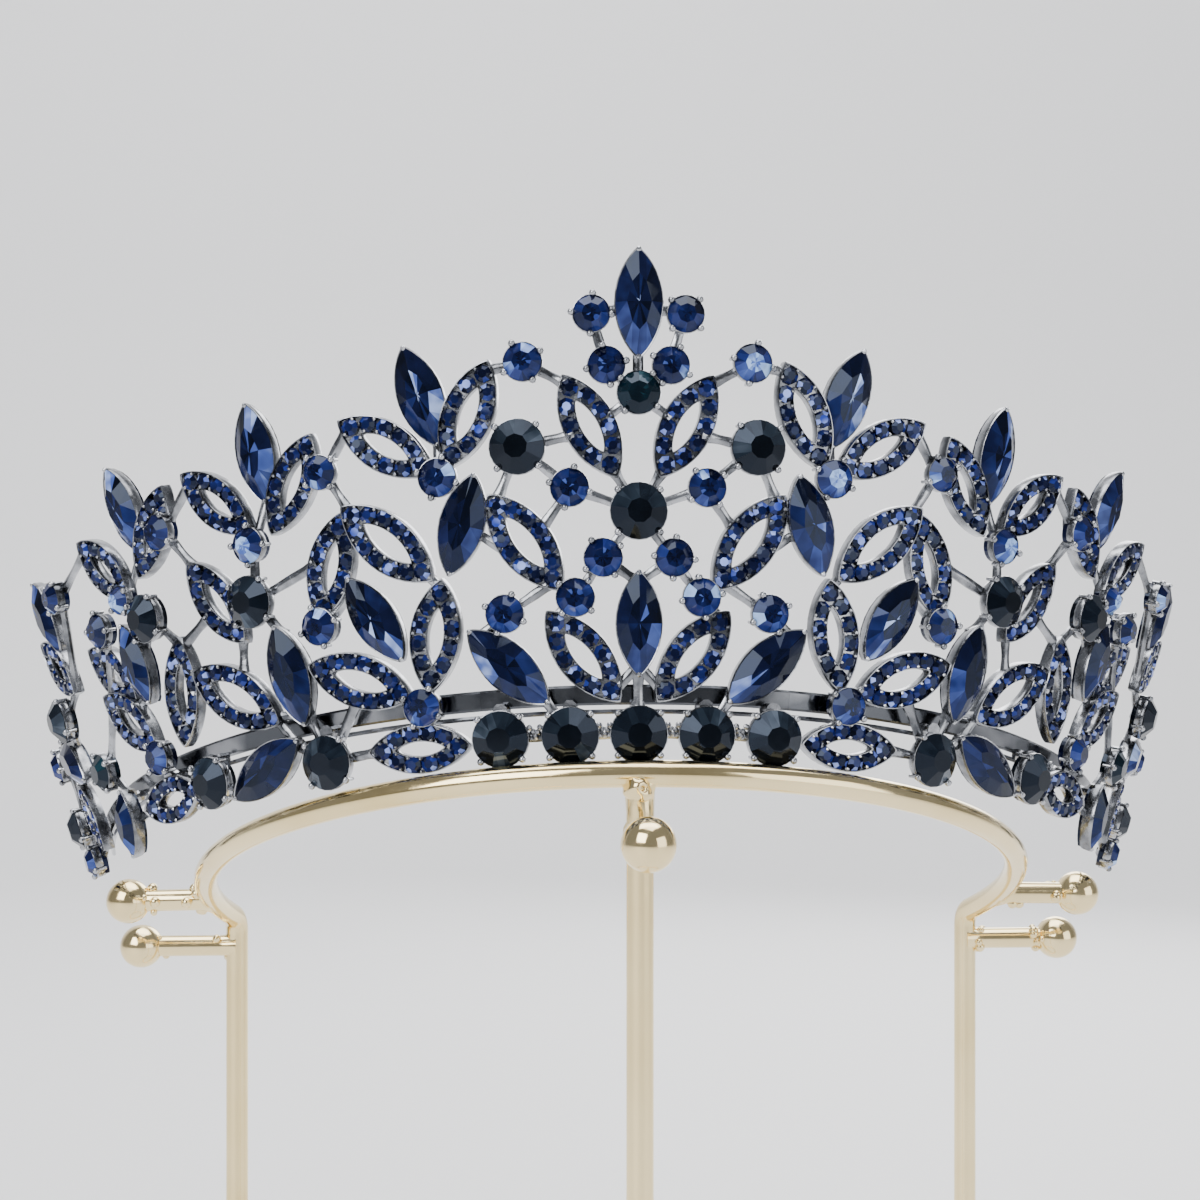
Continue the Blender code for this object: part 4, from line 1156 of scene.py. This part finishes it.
def build_pave(name):
    """Small stones of a group's leaves: girdle and table of eight sides, in rows round each
    leaf at equal distances, each turned and tipped a little."""
    shape = Shape()
    draw = np.random.default_rng(len(name) * 7 + 3)
    radius = stones().pave / 2
    section = ((radius * PAVE_FOOT, stones().pave_low), (radius, stones().pave_girdle),
               (radius * PAVE_TABLE, stones().pave_top))
    points, faces = turned(section, BEAD_SIDES)
    wall = len(faces) - 1
    found = pairs(name, ("leaf",))
    for (row, _), place in zip(found, places(found)):
        at, _ = along_leaf(row.size)
        count = len(at)
        mats = shifts(leaf_lines(row.size)(at, PAVE_LINE), 0.0)
        turn = draw.uniform(0.0, math.pi / 4, count)
        mats[:, 2, :2] = draw.uniform(-PAVE_TIP, PAVE_TIP, (count, 2))
        mats[:, 0, 0] = mats[:, 1, 1] = np.cos(turn)
        mats[:, 0, 1] = -np.sin(turn)
        mats[:, 1, 0] = np.sin(turn)
        # Painted light: random tones for the sides and table of each small stone, a share of them
        # painted glints
        sides = facet_tones(draw, wall * count, *PAVE_SIDE_TONES).reshape(count, wall)
        tables = facet_tones(draw, count, *PAVE_TABLE_TONES)[:, None]
        shape.add(points, faces, np.hstack((sides, tables)).ravel(), place @ mats)
    shape.make(name + "_pave", cut_glass("pave"))


def build_wing_stones(name, kind):
    """The wing's stones of one kind that are set in the casting."""
    draw = np.random.default_rng(len(kind) * 31 + len(name))
    found = [(row, hand) for row, hand in pairs(name, (kind,)) if row.name not in OWN_WING]
    shape = Shape()
    for (row, _), place in zip(found, places(found)):
        shape.add(*any_stone(row, SET_STONE_FOOT * MM, draw), at=place[None])
    shape.make("{}_{}_stones".format(name, kind), cut_glass(kind))


def build_own_stones():
    """The stones that are pieces of their own, each in the place of its node."""
    found = [(row, hand) for row, hand in pairs("centre") if row.kind != "leaf"]
    for name in ("wing_l", "wing_r"):
        found += [(row, hand) for row, hand in pairs(name) if row.name in OWN_WING]
    for index, (row, hand) in enumerate(found):
        node = row.name if not row.turn else row.name + ("_r" if hand > 0 else "_l")
        draw = np.random.default_rng(100 + index * 13)
        shape = Shape()
        shape.add(*any_stone(row, stones().seat, draw), at=places([(row, hand)]))
        made = shape.make(node + "_cut", cut_glass(row.kind))
        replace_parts(made, node)


# Stand


def rail_points(turn, shift):
    """Points of the rail's middle line: a circle below the base row, tilted as the crown is."""
    below = stones().black / 2 + stand().stone_gap + stand().bar / 2
    radius = stand().rail_radius
    spots = np.stack((radius * np.sin(turn), -radius * np.cos(turn),
                      np.full_like(turn, -below), np.ones_like(turn)), -1)
    return (spots @ tilt(shift).T)[:, :3]


def rail_end(hand, shift):
    """End of the rail's arc and the direction in which it runs there."""
    end = hand * stand().rail_end
    here, before = rail_points(np.array((end, end - hand * math.radians(1.0))), shift)
    return here, unit(here - before)


def rear_leg(hand, shift):
    """Middle of a rear leg, below the middle of the rail's bend."""
    here, run = rail_end(hand, shift)
    return here + unit(np.array((run[0], run[1], 0.0))) * stand().rail_bend * 0.5


def bend_points(hand, shift, steps=14):
    """Bend at the rail's end: two straight lines blended by their share, then a short drop."""
    here, run = rail_end(hand, shift)
    foot = rear_leg(hand, shift)
    bend = stand().rail_bend
    corner = np.array((foot[0], foot[1], here[2] + run[2] * bend * 0.5))
    low = corner - np.array((0.0, 0.0, bend * 0.5))
    share = np.linspace(0.0, 1.0, steps)[1:, None]
    one = here + (corner - here) * share
    two = corner + (low - corner) * share
    curve = one + (two - one) * share
    drop = curve[-1:] - np.array((0.0, 0.0, stand().rail_drop))
    return np.concatenate((curve, drop))


def ball_points(middle, radius, sides=28, rings=18):
    """Ball: the radius and height at each ring are the sine and cosine of its angle."""
    angle = np.linspace(BALL_POLE, math.pi - BALL_POLE, rings)
    points, faces = turned(np.column_stack((np.sin(angle), -np.cos(angle))) * radius, sides)
    return points + middle, faces


def peg(shape, start, stop):
    """Peg with a flare of solder at its root and a ball at its end. Its radius falls from the
    collar's by the square of what is left of the collar's length."""
    run = stop - start
    long = np.linalg.norm(run)
    reach = stand().bar / 2 + stand().collar * COLLAR_LONG
    share = np.concatenate((np.linspace(0.0, reach / long, STRAIGHT_STEPS), (1.0,)))
    left = np.clip(1.0 - share * long / reach, 0.0, 1.0)
    radius = stand().peg_bar / 2 + stand().collar * COLLAR_WIDE * left ** 2
    shape.add(*swept(start + share[:, None] * run, radius, PEG_SIDES,
                     start_side=(0.0, 0.0, 1.0)))
    shape.add(*ball_points(stop, stand().ball / 2))


def solder_grains(shape, spot, run, radius, size, draw):
    """Small lumps of solder round a peg, at a distance from its middle line, in directions across
    its run."""
    ahead = unit(run)
    side = unit(np.cross(ahead, (0.0, 0.0, 1.0)))
    up = np.cross(side, ahead)
    for turn in draw.uniform(0.0, 2 * math.pi, GRAIN_COUNT):
        away = side * math.cos(turn) + up * math.sin(turn)
        middle = spot + away * radius * draw.uniform(0.9, 1.1)
        middle = middle + ahead * size * draw.uniform(-1.6, 1.6)
        shape.add(*ball_points(middle, size * draw.uniform(0.6, 1.3), 10, 8))


def soldered_peg(shape, start, away, long, grains, draw):
    """Peg with grains of solder at its root and at its ball. grains holds how far out the first
    ring lies in bars, its radius in pegs, and the size of both rings' grains in bars."""
    s = stand()
    out, girth, root_size, ball_size = grains
    peg(shape, start, start + away * long)
    root = start + away * s.bar * out
    solder_grains(shape, root, away, s.peg_bar * girth, s.bar * root_size, draw)
    ball_root = start + away * (long - s.ball * 0.5)
    solder_grains(shape, ball_root, away, s.peg_bar * BALL_GIRTH, s.bar * ball_size, draw)


def solder(shape, far, near, radius, flare, pinch, draw):
    """Rough fillet of solder round a leg, between two points of its middle line. Its radius is
    the leg's, grown sideways by the flare and shrunk in depth by the pinch, each times the cube
    of the share of the way to the near point, and waves a little with turn and height."""
    rings, sides = SOLDER_RINGS, BAR_SIDES
    turn = circle(sides)
    share = np.linspace(0.0, 1.0, rings)[:, None]
    wave = (0.07 * np.sin(3 * turn + 1.0) * np.cos(7.0 * share)
            + 0.05 * np.sin(5 * turn + 4 * share))
    wave = (wave + draw.uniform(-0.03, 0.03, (rings, sides))) * (0.25 + share)
    wide = radius * (1.0 + flare * share ** 3 + wave)
    deep = radius * (1.0 - pinch * share ** 3 + wave)
    line = far + (near - far) * share
    points = np.stack((line[:, :1] + wide * np.sin(turn), line[:, 1:2] + deep * np.cos(turn),
                       np.broadcast_to(line[:, 2:], wide.shape)), -1)
    shape.add(points.reshape(-1, 3), capped_faces(rings, sides))


def foot_solder(shape, low, draw):
    """Fillet of solder between a leg's lower end and the base ring."""
    joint = np.array((0.0, 0.0, stand().bar))
    radius = stand().bar / 2 * FOOT_SWELL
    solder(shape, low + joint * 0.7, low - joint * 0.1, radius, SOLDER_FLARE, 0.0, draw)


def solder_lump(shape, middle, radius):
    """Lump of solder with a small pit: a ball whose radius waves with its direction, and falls
    steeply towards the pit's direction by the exponential of the cosine between them."""
    points, faces = ball_points(np.zeros(3), 1.0, 48, 32)
    x, _, z = points.T
    wave = 0.07 * np.sin(3.1 * x + 2.0 * z + 1.0) + 0.05 * np.sin(5.3 * z - 3.2 * x)
    near = np.exp((points @ np.array(PIT_AIM) - 1.0) / PIT_WIDTH)
    size = radius * (1.0 + wave - PIT_DEPTH * near)
    shape.add(middle + points * size[:, None], faces)


def build_rail(shift, draw):
    """Top rail with its bends and its two pegs, in the place of its node."""
    s = stand()
    arc = rail_points(np.linspace(-s.rail_end, s.rail_end, RAIL_STEPS), shift)
    path = np.concatenate((bend_points(-1, shift)[::-1], arc, bend_points(1, shift)))
    rail = Shape()
    rail.add(*swept(path, s.bar / 2, BAR_SIDES, start_side=(0.3, 0.83, 0.0)))
    for hand in (-1, 1):
        angle = hand * s.side_peg_turn
        away = tilt(shift)[:3, :3] @ np.array((math.sin(angle), -math.cos(angle), 0.0))
        start = rail_points(np.array([angle]), shift)[0]
        soldered_peg(rail, start, away, s.side_peg, RAIL_GRAINS, draw)
    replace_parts(rail.make("rail_bar", gilding(), BAR_SHARP), "stand_rail")


def build_front_leg(shift, draw):
    """Front leg with its peg, its foot's solder and the lump at the rail."""
    s = stand()
    front = rail_points(np.zeros(1), shift)[0]
    joint = np.array((0.0, 0.0, s.bar))
    low = np.array((front[0], front[1], s.bar * LEG_FOOT))
    leg = Shape()
    path = np.linspace(low, front - joint * LEG_TOP, STRAIGHT_STEPS)
    leg.add(*swept(path, s.bar / 2, BAR_SIDES))
    start = front - np.array((0.0, 0.0, s.front_peg_drop))
    peg(leg, start, start - np.array((0.0, s.front_peg, 0.0)))
    solder(leg, front - joint * 1.7, front - joint * 0.15, s.bar / 2 * TOP_SWELL, SOLDER_FLARE,
           TOP_PINCH, draw)
    solder_lump(leg, front + s.bar * np.array(LUMP_AT), s.bar * LUMP_RADIUS)
    foot_solder(leg, low, draw)
    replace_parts(leg.make("front_leg_bar", gilding(), BAR_SHARP), "stand_front_leg")


def build_rear_leg(hand, tag, shift, draw):
    """Rear leg with its peg, in the place of its node."""
    s = stand()
    spot = rear_leg(hand, shift)
    low = np.array((spot[0], spot[1], s.bar * LEG_FOOT))
    leg = Shape()
    path = np.linspace(low, bend_points(hand, shift)[-1], STRAIGHT_STEPS)
    leg.add(*swept(path, s.bar / 2, BAR_SIDES))
    peg_z = rail_end(hand, shift)[0][2] - s.low_peg_drop - s.bar
    start = np.array((spot[0], spot[1], peg_z))
    away = np.array((float(hand), 0.0, 0.0))
    soldered_peg(leg, start, away, s.low_peg, LEG_GRAINS, draw)
    foot_solder(leg, low, draw)
    made = leg.make("rear_leg_bar_" + tag, gilding(), BAR_SHARP)
    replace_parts(made, "stand_rear_leg_" + tag)


def build_base_ring(shift):
    """Closed ring under the three legs, in the place of its node."""
    radius = stand().bar / 2
    middle, reach = base_circle()
    turn = circle(RING_STEPS)
    ring = np.stack((reach * np.sin(turn), shift + middle - reach * np.cos(turn),
                     np.full_like(turn, radius)), -1)
    base = Shape()
    base.add(*swept(ring, radius, BAR_SIDES, closed=True, start_side=(0.0, 0.0, 1.0)))
    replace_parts(base.make("base_ring_bar", gilding(), BAR_SHARP), "stand_base_ring")


def build_stand():
    """Rail, legs and base ring in round bar."""
    shift = depth_shift()
    draw = np.random.default_rng(5)
    build_rail(shift, draw)
    build_front_leg(shift, draw)
    build_rear_leg(-1, "l", shift, draw)
    build_rear_leg(1, "r", shift, draw)
    build_base_ring(shift)


# Stage


def build_lamp(name, at, aim, size, power):
    """Square soft light that faces a point."""
    data = bpy.data.lights.new(name, "AREA")
    data.shape = "SQUARE"
    data.size = size
    data.energy = power
    made = linked(name, data)
    made.location = at
    made.rotation_euler = (Vector(aim) - Vector(at)).to_track_quat("-Z", "Y").to_euler()


def build_stage():
    """Floor that curves up into a backdrop, lights and camera."""
    arc = np.linspace(0.0, math.pi / 2, 16)
    curve = np.column_stack((FLOOR_BACK + FLOOR_BEND * np.sin(arc),
                             FLOOR_BEND - FLOOR_BEND * np.cos(arc)))
    profile = np.concatenate((((FLOOR_FRONT, 0.0),), curve,
                              ((FLOOR_BACK + FLOOR_BEND, BACKDROP_TOP),)))
    across = np.array((-FLOOR_SIDE, FLOOR_SIDE))
    points = np.stack(np.broadcast_arrays(across[None], profile[:, :1], profile[:, 1:]), -1)
    mesh = bpy.data.meshes.new("floor")
    mesh.from_pydata(points.reshape(-1, 3), [], grid_faces(len(profile), 2, False, False))
    mesh.polygons.foreach_set("use_smooth", [True] * len(mesh.polygons))
    mesh.materials.append(floor_finish())
    floor = linked("floor", mesh)
    world = bpy.data.worlds.new("studio")
    world.use_nodes = True
    background = world.node_tree.nodes["Background"].inputs
    background[0].default_value = WORLD_COLOUR
    background[1].default_value = WORLD_STRENGTH
    bpy.context.scene.world = world
    for name, at, aim, size, power in LAMPS:
        build_lamp(name, at, aim, size, power)
    camera = bpy.data.cameras.new("camera")
    camera.lens = CAMERA_LENS
    camera.sensor_width = 36.0
    camera.clip_start = 0.01
    made = linked("camera", camera)
    x, y, z = CAMERA_AT
    made.location = (x, y + depth_shift(), z)
    made.rotation_euler = (math.pi / 2, 0.0, CAMERA_TURN)
    bpy.context.scene.camera = made


# Operators and panel


class TIARA_OT_castings(bpy.types.Operator):
    """Builds the cast frames: leaf trays, cups, prongs, stems and band"""
    bl_idname = "tiara.castings"
    bl_label = "Cast frames"

    def execute(self, context):
        build_frame("centre", "frame_centre")
        build_frame("wing_l", "frame_wing_l")
        build_frame("wing_r", "frame_wing_r")
        return {"FINISHED"}


class TIARA_OT_main_stones(bpy.types.Operator):
    """Cuts the main stones that are pieces of their own"""
    bl_idname = "tiara.main_stones"
    bl_label = "Main stones"

    def execute(self, context):
        build_own_stones()
        return {"FINISHED"}


class TIARA_OT_wing_stones(bpy.types.Operator):
    """Cuts the stones set in the wings"""
    bl_idname = "tiara.wing_stones"
    bl_label = "Wing stones"

    def execute(self, context):
        for name in ("wing_l", "wing_r"):
            for kind in ("blue", "black", "teal", "navette"):
                build_wing_stones(name, kind)
        return {"FINISHED"}


class TIARA_OT_pave(bpy.types.Operator):
    """Sets the small stones in the leaves"""
    bl_idname = "tiara.pave"
    bl_label = "Pave stones"

    def execute(self, context):
        for name in ("centre", "wing_l", "wing_r"):
            build_pave(name)
        return {"FINISHED"}


class TIARA_OT_stand(bpy.types.Operator):
    """Bends the wire stand"""
    bl_idname = "tiara.stand"
    bl_label = "Wire stand"

    def execute(self, context):
        build_stand()
        return {"FINISHED"}


class TIARA_OT_stage(bpy.types.Operator):
    """Sets up the floor, lights and camera"""
    bl_idname = "tiara.stage"
    bl_label = "Stage"

    def execute(self, context):
        build_stage()
        return {"FINISHED"}


OPERATORS = (TIARA_OT_castings, TIARA_OT_main_stones, TIARA_OT_wing_stones, TIARA_OT_pave,
             TIARA_OT_stand, TIARA_OT_stage)
GROUPS = (("tiara_crown", CrownSizes), ("tiara_stones", StoneSizes), ("tiara_leaves", LeafSizes),
          ("tiara_stand", StandSizes), ("tiara_colours", Colours))


class TIARA_PT_panel(bpy.types.Panel):
    """Lists the tiara's pieces"""
    bl_idname = "TIARA_PT_panel"
    bl_label = "Crystal Tiara"
    bl_space_type = "VIEW_3D"
    bl_region_type = "UI"
    bl_category = "Tiara"

    def draw(self, context):
        for operator in OPERATORS:
            self.layout.operator(operator.bl_idname)
        for name, properties in GROUPS:
            column = self.layout.column()
            column.label(text=properties.__doc__)
            for key in properties.__annotations__:
                column.prop(getattr(context.scene, name), key)


def register():
    for name, properties in GROUPS:
        bpy.utils.register_class(properties)
        setattr(bpy.types.Scene, name, PointerProperty(type=properties))
    for operator in OPERATORS:
        bpy.utils.register_class(operator)
    bpy.utils.register_class(TIARA_PT_panel)


def unregister():
    bpy.utils.unregister_class(TIARA_PT_panel)
    for operator in reversed(OPERATORS):
        bpy.utils.unregister_class(operator)
    for name, properties in reversed(GROUPS):
        delattr(bpy.types.Scene, name)
        bpy.utils.unregister_class(properties)


def main():
    register()
    bpy.ops.tiara.castings()
    bpy.ops.tiara.main_stones()
    bpy.ops.tiara.wing_stones()
    bpy.ops.tiara.pave()
    bpy.ops.tiara.stand()
    bpy.ops.tiara.stage()
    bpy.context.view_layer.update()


if __name__ == "__main__":
    main()
